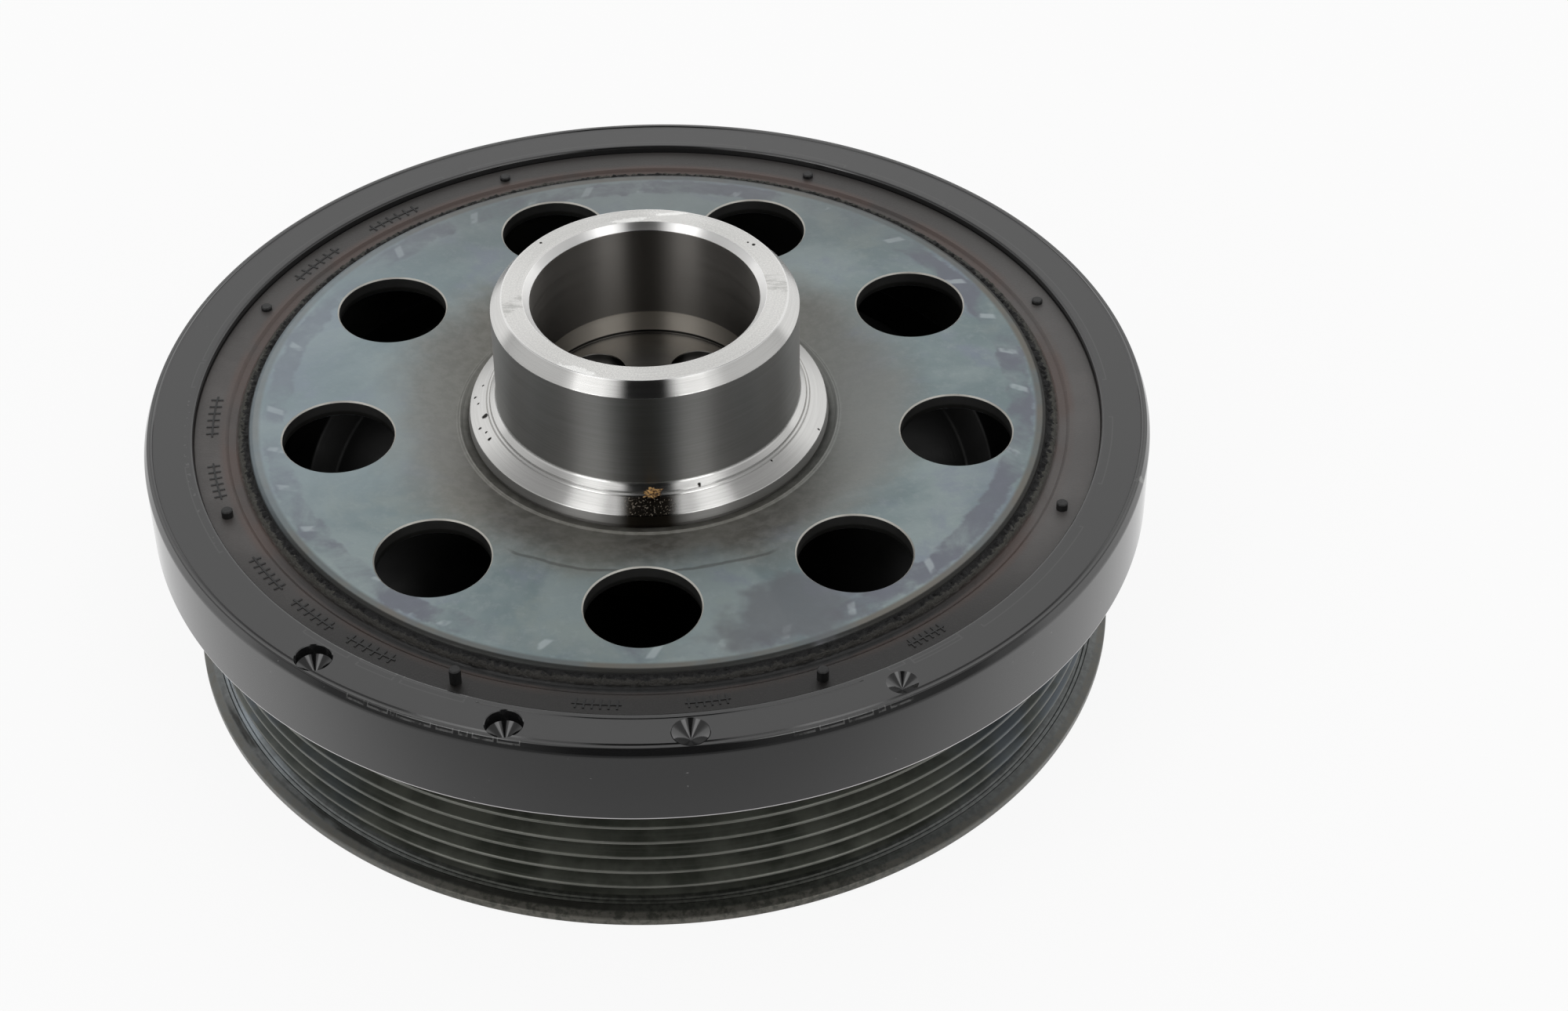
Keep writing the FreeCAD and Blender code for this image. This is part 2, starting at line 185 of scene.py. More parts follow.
# Marks on the ring's top, as runs of degrees
LIP_LINES = (
    (82.15, ((236, 241), (242, 250))),
    (82.55, ((299.5, 301.5), (302.5, 309.4))),
    (82.80, ((77.5, 116.5), (120.5, 171), (227.5, 234.5))),
    (82.95, ((3, 46), (47, 59), (63, 74), (171.6, 176.6), (192.5, 209.5))),
    (83.25, ((236, 241), (242, 250), (302.5, 309.4), (342.4, 355.5))),
    (83.60, ((312.6, 334),)),
)
LIP_HOOK = 0.7
FRONT_RUN = (251.5, 296.0)
LINE_HALF_WIDTH = 0.12
LINE_SUPPORT = 0.06
WORN_RUNS = ((238, 240.2), (240.6, 243.1), (243.4, 243.9), (244.1, 248.1), (248.7, 250.6),
             (251.2, 252.2), (252.7, 255.0), (255.4, 257.8), (286.0, 288.3), (288.8, 291.5),
             (292.0, 294.8), (295.4, 296.2), (296.8, 299.5))
WORN_BAND = (89.18, 89.66)
WORN_LINE = 0.13
WORN_LINE_DEGREES = 0.12
SPECK_RUN = (177.5, 208.0)
SPECK_BAND = (82.2, 82.8)
RIM_NICKS = (159.7, 344.6)

# Raised scales on the rubber, as runs of degrees
RAISED_SCALES = ((126.3, 134.8), (140.8, 149.8), (177.3, 185.8), (191.3, 198.8), (211.3, 218.8),
                 (221.3, 228.8), (231.3, 238.8), (261.8, 267.8), (275.3, 280.8), (304.3, 309.8))
SCALE_CIRCLE = 78.0
SCALE_TICKS = 6
SCALE_BARS = 8
TICK_LENGTH = 2.2
TICK_GAP = 0.02
LINE_WIDTH = 0.32
LINE_HEIGHT = 0.12

# Marks on the ground steel. Pits: x, y, size. Patches: x, y, length, width, turn, raggedness
SHOULDER_PITS = ((-29.0, -5.8, 0.95), (-31.2, 0.8, 0.5), (-30.5, -1.5, 0.4), (-27.9, -11.8, 0.6),
                 (-29.8, -8.3, 0.5), (-29.9, 3.4, 0.4), (-28.6, -9.9, 0.4), (30.4, -9.0, 0.4),
                 (9.3, -26.6, 0.5), (21.9, -19.4, 0.4))
TOP_PITS = ((19.2, 13.9, 0.6), (18.2, 14.6, 0.4), (-18.8, 15.1, 0.5))
SMUDGES = ((-22.4, -3.0, 8.5, 4.6, 50.0, 1.2), (22.7, 2.8, 8.0, 4.4, -50.0, 1.2))
GLINTS = ((-3.1, 21.9, 6.0, 1.2, 10.0, 0.8), (4.4, 23.7, 6.0, 0.9, 6.0, 0.8),
          (-11.6, -21.9, 8.0, 1.6, -22.0, 0.9))
GRIT_PATCH = (0.7, -30.4, 9.0, 3.2, 0.0, 0.6)

# Marks on the disc, and the crumb of rust on the shoulder
DISC_NICKS = (1.8, 11.3, 20.8, 31.3, 46.3, 61.3, 75.8)
DISC_NICK_CIRCLE = 67.0
DULL_PATCH = (24.6, -57.5, 26.0, 15.0, 30.0, 0.9)
STAIN_RADII = (48.3, 48.6)
STAIN_RUN = (243.0, 296.0)
CRUMB_PLACE = (1.2, -28.3, DISC_TOP + 1.8)
CRUMB_SIZE = 1.55
CRUMB_STRETCH = (1.3, 0.8, 0.6)

SHARP_ANGLE = math.radians(24)
SUPPORT = 0.15


# Mesh helpers

def rounded(corners, steps=5):
    """An outline from corners (distance, height, rounding radius), each rounding an arc."""
    outline = []
    count = len(corners)
    for index, (across, up, radius) in enumerate(corners):
        here = Vector((across, up))
        if radius == 0:
            outline.append(here)
            continue
        before = Vector(corners[index - 1][:2])
        after = Vector(corners[(index + 1) % count][:2])
        back = (before - here).normalized()
        ahead = (after - here).normalized()
        half = back.angle(ahead) / 2
        reach = radius / math.tan(half)
        centre = here + (back + ahead).normalized() * radius / math.sin(half)
        first = here + back * reach - centre
        last = here + ahead * reach - centre
        turn = first.angle_signed(last)
        support = reach + min(SUPPORT, radius / 2)
        outline.append(here + back * support)
        for step in range(steps + 1):
            outline.append(centre + Matrix.Rotation(-turn * step / steps, 2) @ first)
        outline.append(here + ahead * support)
    return outline


def in_scene(name, data):
    """A new object in the scene."""
    thing = bpy.data.objects.new(name, data)
    bpy.context.scene.collection.objects.link(thing)
    return thing


def new_piece(name, mesh, material):
    """Adds a mesh to the scene as a piece of the part, with its material."""
    piece = in_scene(name, mesh)
    mesh.materials.append(material)
    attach(piece, "root")
    return piece


def finish_mesh(mesh):
    """Smooth shading that breaks at edges, with the faces pointing outward."""
    shape = bmesh.new()
    shape.from_mesh(mesh)
    bmesh.ops.remove_doubles(shape, verts=shape.verts, dist=1e-7)
    bmesh.ops.recalc_face_normals(shape, faces=shape.faces)
    shape.to_mesh(mesh)
    shape.free()
    mesh.polygons.foreach_set("use_smooth", [True] * len(mesh.polygons))
    mesh.set_sharp_from_angle(angle=SHARP_ANGLE)


def turned_mesh(name, outline, segments, relief=None):
    """A closed mesh turned about Z from an outline; relief moves its points as it likes."""
    points = numpy.array([tuple(point) for point in outline])
    angle = numpy.linspace(0, 2 * math.pi, segments, endpoint=False)
    across = numpy.repeat(points[:, 0:1], segments, axis=1)
    up = numpy.repeat(points[:, 1:2], segments, axis=1)
    around = numpy.repeat(angle[None, :], len(points), axis=0)
    if relief:
        across, up = relief(across, up, numpy.degrees(around))
    places = numpy.stack([across * numpy.cos(around), across * numpy.sin(around), up], axis=2)
    faces = []
    rows = len(points)
    for row in range(rows):
        below = row * segments
        above = ((row + 1) % rows) * segments
        if points[row][0] == 0 and points[(row + 1) % rows][0] == 0:
            continue
        for column in range(segments):
            beside = (column + 1) % segments
            faces.append((below + column, below + beside, above + beside, above + column))
    mesh = bpy.data.meshes.new(name)
    mesh.from_pydata((places.reshape(-1, 3) * MM).tolist(), [], faces)
    finish_mesh(mesh)
    return mesh


def cut(mesh, cutters):
    """The mesh with the closed meshes of the cutters taken away."""
    holder = in_scene("cut_body", mesh)
    tools = []
    for cutter in cutters:
        tool = in_scene("cut_tool", cutter)
        tools.append(tool)
        change = holder.modifiers.new("cut", "BOOLEAN")
        change.operation = "DIFFERENCE"
        change.solver = "EXACT"
        change.object = tool
    depsgraph = bpy.context.evaluated_depsgraph_get()
    result = bpy.data.meshes.new_from_object(holder.evaluated_get(depsgraph))
    for thing in [holder, *tools]:
        bpy.data.objects.remove(thing)
    result.polygons.foreach_set("use_smooth", [True] * len(result.polygons))
    result.set_sharp_from_angle(angle=SHARP_ANGLE)
    return result


def upright_cutter(outline, x, y, segments=96):
    """A cutter turned about an upright line through x, y."""
    mesh = turned_mesh("cutter", outline, segments)
    mesh.transform(Matrix.Translation((x * MM, y * MM, 0)))
    return mesh


def on_circle(radius, degrees):
    angle = math.radians(degrees)
    return radius * math.cos(angle), radius * math.sin(angle)


def ring_of_cutters(outline, circle, first, count):
    """Equal cutters, evenly spaced on a circle from the first angle."""
    return [upright_cutter(outline, *on_circle(circle, first + 360 * number / count))
            for number in range(count)]


# Material helper

class Look:
    """A material's nodes, with short calls for the kinds that the finishes need.

    Values are numbers or sockets. Places are in millimetres in the part's frame.
    """

    def __init__(self, name):
        self.material = bpy.data.materials.new(name)
        self.material.use_nodes = True
        self.tree = self.material.node_tree
        self.shader = self.tree.nodes["Principled BSDF"]
        place = self.add("ShaderNodeTexCoord").outputs["Object"]
        scaled = self.add("ShaderNodeVectorMath", operation="SCALE")
        self.feed(scaled.inputs[0], place)
        scaled.inputs["Scale"].default_value = 1 / MM
        self.place = scaled.outputs[0]
        self.x, self.y, self.z = self.split(self.place)
        squares = self.math("ADD", self.both(self.x, self.x),
                            self.both(self.y, self.y))
        self.radius = self.math("SQRT", squares)
        turn = self.both(self.math("ARCTAN2", self.y, self.x), 180 / math.pi)
        self.angle = self.math("FLOORED_MODULO", turn, 360.0)
        self.colour = None
        self.upward = self.split(self.add("ShaderNodeNewGeometry").outputs["Normal"])[2]

    def add(self, kind, **settings):
        node = self.tree.nodes.new(kind)
        for name, value in settings.items():
            setattr(node, name, value)
        return node

    def feed(self, socket, value):
        if isinstance(value, bpy.types.NodeSocket):
            self.tree.links.new(value, socket)
        else:
            socket.default_value = value

    def fill(self, node, **values):
        """Sets a node's inputs, named with _ for each space, and gives its outputs."""
        for name, value in values.items():
            self.feed(node.inputs[name.replace("_", " ")], value)
        return node.outputs

    def split(self, vector):
        """The x, y and z of a vector."""
        return self.fill(self.add("ShaderNodeSeparateXYZ"), Vector=vector)

    def wired(self, kind, *values, **settings):
        """The first output of a new node whose inputs take the values in their order."""
        node = self.add(kind, **settings)
        for socket, value in zip(node.inputs, values):
            self.feed(socket, value)
        return node.outputs[0]

    def math(self, operation, first, second=0.0, third=0.0, clamp=False):
        return self.wired("ShaderNodeMath", first, second, third, operation=operation, use_clamp=clamp)

    def line(self, value, slope, start):
        """The value times the slope, on top of the start."""
        return self.math("MULTIPLY_ADD", value, slope, start)

    def both(self, *masks):
        """The product of masks."""
        total = masks[0]
        for mask in masks[1:]:
            total = self.math("MULTIPLY", total, mask)
        return total

    def either(self, masks):
        """The greatest of several masks."""
        total = masks[0]
        for mask in masks[1:]:
            total = self.math("MAXIMUM", total, mask)
        return total

    def inverse(self, mask):
        return self.math("SUBTRACT", 1.0, mask)

    def ramp(self, value, low, high, start=0.0, end=1.0):
        """A smooth step from start to end as value goes from low to high."""
        return self.wired("ShaderNodeMapRange", value, low, high, start, end,
                          interpolation_type="SMOOTHSTEP")

    def band(self, value, low, high, soft):
        """One between low and high, falling to nought over soft on each side."""
        rise = self.ramp(value, low - soft, low)
        fall = self.ramp(value, high, high + soft, 1.0, 0.0)
        return self.both(rise, fall)

    def noise(self, scale, detail=3.0, roughness=0.55, vector=None, distortion=0.0):
        """Noise from 0 to 1; scale is in waves per millimetre."""
        return self.fill(self.add("ShaderNodeTexNoise"), Vector=vector or self.place, Scale=scale,
                         Detail=detail, Roughness=roughness, Distortion=distortion)["Fac"]

    def turning(self, across, along, detail=2.0):
        """Noise drawn out round the axis, as a turning tool leaves it.

        across is in waves per millimetre, and along in waves per radius of arc.
        """
        flat = self.wired("ShaderNodeVectorMath", self.vector(self.x, self.y, 0.0), operation="NORMALIZE")
        east, north, _ = self.split(flat)
        vector = self.vector(self.both(self.radius, across), self.both(east, along),
                             self.both(north, along))
        return self.fill(self.add("ShaderNodeTexNoise", noise_dimensions="4D"), Vector=vector,
                         W=self.both(self.z, across), Scale=1.0, Detail=detail)["Fac"]

    def patch(self, x, y, length, width, turn=0.0, ragged=0.5):
        """One inside a ragged oval round x, y, whose length is turned from the X axis."""
        lean = math.radians(turn)
        east = self.math("SUBTRACT", self.x, x)
        north = self.math("SUBTRACT", self.y, y)
        along = self.math("ADD", self.both(east, math.cos(lean) / length),
                          self.both(north, math.sin(lean) / length))
        across = self.math("ADD", self.both(east, -math.sin(lean) / width),
                           self.both(north, math.cos(lean) / width))
        away = self.math("SQRT", self.math("ADD", self.both(along, along),
                                           self.both(across, across)))
        torn = self.line(self.noise(1.6 / width, 3.0, 0.6), ragged, -ragged / 2)
        return self.ramp(self.math("ADD", away, torn), 0.62, 0.38)

    def patches(self, rows):
        return self.either([self.patch(*row) for row in rows])

    def runs(self, pairs, soft=0.4):
        """One where the angle lies in a run."""
        return self.either([self.band(self.angle, low, high, soft) for low, high in pairs])

    def vector(self, x, y, z):
        return self.wired("ShaderNodeCombineXYZ", x, y, z)

    def mix(self, factor, first, second):
        """Colour mixed from first to second, each an RGB triple or a socket."""
        node = self.add("ShaderNodeMix", data_type="RGBA")
        self.feed(node.inputs["Factor"], factor)
        for socket, value in ((node.inputs["A"], first), (node.inputs["B"], second)):
            colour_socket = [s for s in node.inputs if s.name == socket.name and s.type == "RGBA"][0]
            self.feed(colour_socket, (*value, 1.0) if isinstance(value, tuple) else value)
        return [s for s in node.outputs if s.type == "RGBA"][0]

    def cover(self, mask, colour, share=1.0):
        """Lays a colour over the finish where the mask is, no thicker than the share."""
        if share < 1.0:
            mask = self.both(mask, share)
        self.colour = self.mix(mask, self.colour, colour)

    def bump(self, height, depth, under=None):
        """Bump nodes for a height from 0 to 1 that is depth millimetres deep."""
        below = {"Normal": under} if under else {}
        return self.fill(self.add("ShaderNodeBump"), Height=height, Distance=depth * MM,
                         Strength=1.0, **below)["Normal"]

    def set(self, **values):
        """Sets inputs of the surface shader."""
        self.fill(self.shader, **values)

    def finished(self, **values):
        """Sets the shader's inputs and its colour, and gives the material."""
        self.set(Base_Color=self.colour, **values)
        return self.material

    def brushed(self, amount):
        """Stretches highlights across the turning marks."""
        tangent = self.wired("ShaderNodeTangent", direction_type="RADIAL", axis="Z")
        self.set(Tangent=tangent, Anisotropic=amount, Anisotropic_Rotation=0.25)


# Finishes

def ground_steel():
    """Bright flats and chamfers, duller upright walls painted darker as painted shade, and a bore whose
    wall and drilled holes are painted dark as painted shade.
    """
    look = Look("ground_steel")
    lines = look.turning(4.5, 2.2, 3.0)
    broad = look.turning(1.2, 0.6, 2.0)
    sand = look.noise(3.5, 3.0, 0.6)
    level = look.math("ABSOLUTE", look.upward)
    upright = look.ramp(level, 0.35, 0.12)
    flat = look.ramp(level, 0.9, 0.97)
    top = look.both(flat, look.ramp(look.z, NOSE_TOP - 0.5, NOSE_TOP - 0.2))
    streak = look.ramp(lines, 0.3, 0.7)
    look.colour = look.mix(streak, (0.61, 0.605, 0.59), (0.66, 0.655, 0.64))
    look.cover(look.both(flat, look.ramp(sand, 0.35, 0.75)), (0.74, 0.735, 0.71))
    # Painted shade: upright walls take a darker colour than the flats
    look.cover(upright, look.mix(streak, (0.228, 0.225, 0.216), (0.254, 0.251, 0.243)))

    # The bore, its floor, the bolt holes in it and the relief round its foot; painted shade darkens the
    # bore's wall, the bolt holes and a line just above the floor
    inside = look.band(look.radius, 0.0, BORE_RADIUS + 0.5, 0.3)
    foot = FLOOR_HEIGHT + RELIEF_HEIGHT
    look.cover(inside, look.mix(look.ramp(look.z, foot + 0.2, foot - 0.1),
                                (0.20, 0.19, 0.177), (0.68, 0.64, 0.58)))
    floor = look.ramp(look.z, FLOOR_HEIGHT + 0.2, FLOOR_HEIGHT + 0.1)
    look.cover(look.both(inside, floor), (0.52, 0.50, 0.47))
    holes = look.band(look.z, SOCKET_CEILING + 0.3, FLOOR_HEIGHT - 0.3, 0.2)
    look.cover(look.both(inside, holes), (0.05, 0.048, 0.045))
    relief = look.band(look.z, FLOOR_HEIGHT + 0.15, FLOOR_HEIGHT + 0.5, 0.2)
    look.cover(look.both(inside, relief), (0.03, 0.029, 0.027))
    # Painted shade: darker low down on the shoulder's side, where it meets the disc
    look.cover(look.ramp(look.z, DISC_TOP - 1.2, DISC_TOP - 2.8), (0.19, 0.183, 0.175), 0.8)

    # Smudges and glints on the nose's top, pits there and on the shoulder, grit in front
    along = look.vector(look.both(look.x, 0.25), look.y, 0.0)
    streaks = look.ramp(look.noise(0.9, 4.0, 0.7, along), 0.42, 0.66)
    look.cover(look.both(look.patches(SMUDGES), streaks, top), (0.30, 0.30, 0.285), 0.55)
    look.cover(look.both(look.patches(GLINTS), top), (0.93, 0.93, 0.91), 0.8)
    shoulder = look.band(look.z, DISC_TOP - 0.7, DISC_TOP + 2.2, 0.1)
    pits = look.patches([(x, y, size, size, 0.0, 0.6) for x, y, size in SHOULDER_PITS])
    chips = look.patches([(x, y, size, size, 0.0, 0.6) for x, y, size in TOP_PITS])
    marks = look.math("ADD", look.both(pits, shoulder), look.both(chips, top))
    look.cover(marks, (0.035, 0.033, 0.03))
    grit = look.ramp(look.noise(4.0, 3.0, 0.7), 0.50, 0.60)
    look.cover(look.both(look.patch(*GRIT_PATCH), shoulder, grit), (0.07, 0.05, 0.03))

    # Painted highlights along the corners of the nose's top: a bright line at the outer corner, and the
    # bore's chamfer near white
    lip_radius = NOSE_RADIUS - NOSE_CHAMFER_WIDTH
    lip = look.both(look.band(look.radius, lip_radius - 0.12, lip_radius + 0.1, 0.1),
                    look.ramp(look.z, NOSE_TOP - 0.4, NOSE_TOP - 0.2))
    look.cover(lip, (0.97, 0.97, 0.96), 0.4)
    corner = look.both(look.band(look.radius, BORE_RADIUS + 0.1, BORE_RADIUS + BORE_CHAMFER, 0.1),
                       look.ramp(look.z, NOSE_TOP - BORE_CHAMFER - 0.2, NOSE_TOP - BORE_CHAMFER))
    look.cover(corner, (0.97, 0.965, 0.95))

    # Painted shade on the shoulder's front, with fine dust on it
    painted_front_shade = look.both(look.band(look.x, -2.4, 3.6, 3.0), look.ramp(look.y, -24.0, -28.0),
                     look.ramp(look.z, DISC_TOP + 1.6, DISC_TOP + 1.3))
    look.cover(painted_front_shade, (0.05, 0.042, 0.033))
    dust = look.both(painted_front_shade, look.ramp(look.noise(3.0, 2.0, 0.5), 0.57, 0.66, 0.0, 0.5),
                     look.ramp(level, 0.3, 0.5))
    look.cover(dust, (0.42, 0.37, 0.30))

    rough = look.line(upright, 0.195, 0.20)
    rough = look.line(look.ramp(broad, 0.25, 0.75), 0.05, rough)
    rough = look.line(marks, 0.3, rough)
    rough = look.line(corner, 0.15, rough)
    rough = look.line(look.band(level, 0.55, 0.75, 0.05), -0.05, rough)
    pitted = look.bump(look.inverse(marks), 0.15)
    look.brushed(0.98)
    return look.finished(Metallic=look.inverse(dust), Roughness=rough,
                         Normal=look.bump(lines, 0.0007, pitted))


def oxide_steel():
    """Pressed steel blued by heat in clouds, brown round the hub and purple near its rim."""
    look = Look("oxide_steel")
    cloud = look.noise(0.035, 4.0, 0.6, distortion=0.5)
    drift = look.noise(0.06, 5.0, 0.62, look.vector(look.x, look.y, 40.0), 0.4)
    fleck = look.noise(0.5, 5.0, 0.65)
    look.colour = look.mix(look.ramp(cloud, 0.38, 0.62), (0.20, 0.255, 0.265), (0.29, 0.345, 0.35))
    look.cover(look.ramp(drift, 0.50, 0.68, 0.0, 0.7), (0.235, 0.265, 0.325))
    look.cover(look.ramp(drift, 0.46, 0.32, 0.0, 0.4), (0.30, 0.34, 0.315))
    look.cover(look.ramp(fleck, 0.45, 0.75, 0.0, 0.35), (0.40, 0.45, 0.46))

    # Brown round the hub, with a torn edge and a bluer right side
    uneven = look.line(cloud, 16.0, look.both(drift, 10.0))
    centre = look.ramp(look.math("ADD", look.radius, uneven), 66.0, 52.0)
    brown = look.mix(look.ramp(fleck, 0.35, 0.65), (0.195, 0.184, 0.159), (0.262, 0.250, 0.223))
    brown = look.mix(look.ramp(look.x, 15.0, 45.0, 0.0, 0.55), brown, (0.245, 0.265, 0.27))
    look.cover(centre, brown, 0.9)

    # A purple ring with pale nicks in it, then the warm rim and its dark edge
    torn = look.line(look.noise(0.25, 3.0, 0.6), 4.0, look.math("SUBTRACT", look.radius, 2.0))
    ring = look.band(torn, 65.4, 68.6, 1.0)
    look.cover(look.both(ring, look.ramp(drift, 0.42, 0.60, 0.08, 0.8)), (0.165, 0.172, 0.205))
    across = look.math("SUBTRACT", look.radius, DISC_NICK_CIRCLE)
    quarter = look.line(across, 0.45, look.math("FLOORED_MODULO", look.angle, 90.0))
    nicks = look.either([look.band(quarter, at - 0.4, at + 0.4, 0.5) for at in DISC_NICKS])
    nicks = look.both(nicks, look.band(look.radius, DISC_NICK_CIRCLE - 1.2, DISC_NICK_CIRCLE + 1.0, 0.8),
                      look.ramp(look.noise(0.22, 2.0, 0.5), 0.44, 0.56))
    look.cover(nicks, (0.52, 0.58, 0.60), 0.5)
    warm = look.mix(look.ramp(look.noise(0.05, 4.0, 0.6), 0.4, 0.6),
                    (0.135, 0.15, 0.152), (0.165, 0.147, 0.122))
    look.cover(look.ramp(look.radius, 69.2, 70.0), warm, 0.85)
    rim = look.ramp(look.radius, DISC_RADIUS - 0.95, DISC_RADIUS - 0.55, 0.0, 0.92)
    look.cover(rim, (0.028, 0.028, 0.026))

    # Worn pale at the left, dull in front and at the back, and a thin stain
    worn = look.both(look.ramp(look.x, -25.0, -62.0), look.ramp(look.y, -45.0, -15.0))
    look.cover(worn, (0.36, 0.43, 0.47), 0.4)
    look.cover(look.patch(*DULL_PATCH), (0.16, 0.165, 0.18), 0.75)
    look.cover(look.ramp(look.y, 30.0, 62.0, 0.0, 0.45), (0.17, 0.178, 0.18))
    wave = look.line(look.noise(0.1, 3.0, 0.5), 3.0, look.radius)
    stain = look.both(look.band(wave, *STAIN_RADII, 0.35), look.band(look.angle, *STAIN_RUN, 4.0))
    look.cover(stain, (0.07, 0.065, 0.06), 0.5)

    # Hole edges painted light, a bare worn edge with a painted highlight on it, and hole walls painted
    # darker deeper down as painted shade
    level = look.math("ABSOLUTE", look.upward)
    edge = look.both(look.band(level, 0.5, 0.8, 0.1), look.ramp(look.z, DISC_TOP - 2.0, DISC_TOP - 1.2),
                     look.ramp(look.radius, 66.5, 68.0, 0.85, 0.0))
    look.cover(edge, (0.62, 0.60, 0.55))
    wall = look.mix(look.ramp(look.z, DISC_TOP - 2.4, DISC_TOP - 1.9),
                    (0.028, 0.028, 0.026), (0.07, 0.07, 0.068))
    look.cover(look.ramp(level, 0.4, 0.15), wall)
    lines = look.bump(look.turning(2.2, 1.5, 3.0), 0.006)
    return look.finished(Metallic=0.75, Roughness=look.ramp(fleck, 0.2, 0.8, 0.40, 0.56),
                         Normal=look.bump(look.noise(1.4, 4.0, 0.6), 0.025, lines))


def black_rubber():
    """Moulded rubber: painted shade in front and at the back, painted light at the right, rusty in its
    trough and torn at its flash.
    """
    look = Look("black_rubber")
    cloud = look.noise(0.08, 4.0, 0.6)
    grain = look.noise(2.4, 5.0, 0.7)
    crumb = look.noise(1.1, 5.0, 0.7)
    look.colour = look.mix(look.ramp(cloud, 0.35, 0.65), (0.066, 0.060, 0.057), (0.092, 0.084, 0.080))
    # Painted shade at the back and painted light at the right, standing for reflections
    look.cover(look.ramp(look.y, 5.0, 55.0, 0.0, 0.8), (0.045, 0.042, 0.040))
    look.cover(look.ramp(look.x, 45.0, 75.0, 0.0, 0.4), (0.125, 0.12, 0.117))
    # Painted shade in front, where the reflections are dark
    front = look.ramp(look.y, -30.0, -66.0)
    look.cover(front, (0.008, 0.0068, 0.006), 0.97)
    look.cover(look.ramp(grain, 0.55, 0.8, 0.0, 0.5), (0.085, 0.076, 0.07))

    # Rust in the trough, darker in front as painted shade, and painted shade black at the trough's foot in
    # front
    trough = look.band(look.radius, DISC_RADIUS + 2.0, DISC_RADIUS + 4.2, 1.6)
    rusty = look.both(trough, look.ramp(look.noise(0.06, 3.0, 0.6), 0.38, 0.58, 0.2, 0.8))
    look.cover(rusty, look.mix(front, (0.095, 0.062, 0.052), (0.034, 0.020, 0.015)))
    sunk = look.band(look.radius, DISC_RADIUS + 2.0, DISC_RADIUS + 2.9, 0.35)
    look.cover(look.both(sunk, front), (0.0015, 0.0015, 0.0015))

    # The flash, olive and crumbly and darkened in front as painted shade, and torn where it meets the disc
    flash = look.ramp(look.radius, DISC_RADIUS + 2.2, DISC_RADIUS + 1.6)
    olive = look.mix(look.ramp(crumb, 0.56, 0.70), (0.068, 0.066, 0.056), (0.12, 0.118, 0.104))
    look.cover(flash, look.mix(look.both(front, 0.85), olive, (0.022, 0.020, 0.017)))
    reach = look.line(look.noise(1.0, 4.0, 0.7), -3.4, look.radius)
    torn = look.both(look.ramp(reach, DISC_RADIUS - 0.45, DISC_RADIUS - 0.75),
                     look.ramp(look.radius, DISC_RADIUS + 2.0, DISC_RADIUS + 1.4))
    look.cover(torn, (0.0015, 0.0015, 0.0015))

    # Sprues and scales, which stand above the face
    face = DISC_TOP - RUBBER_RECESS
    raised = look.both(look.ramp(look.radius, DISC_RADIUS + 4.0, DISC_RADIUS + 4.4),
                       look.ramp(look.z, face + 0.03, face + 0.08))
    look.cover(raised, (0.006, 0.006, 0.006))
    rough = look.line(flash, 0.25, look.ramp(grain, 0.3, 0.7, 0.36, 0.5))
    coarse = look.bump(look.both(crumb, flash), 0.7)
    return look.finished(Metallic=0.0, Roughness=rough, Normal=look.bump(grain, 0.05, coarse))


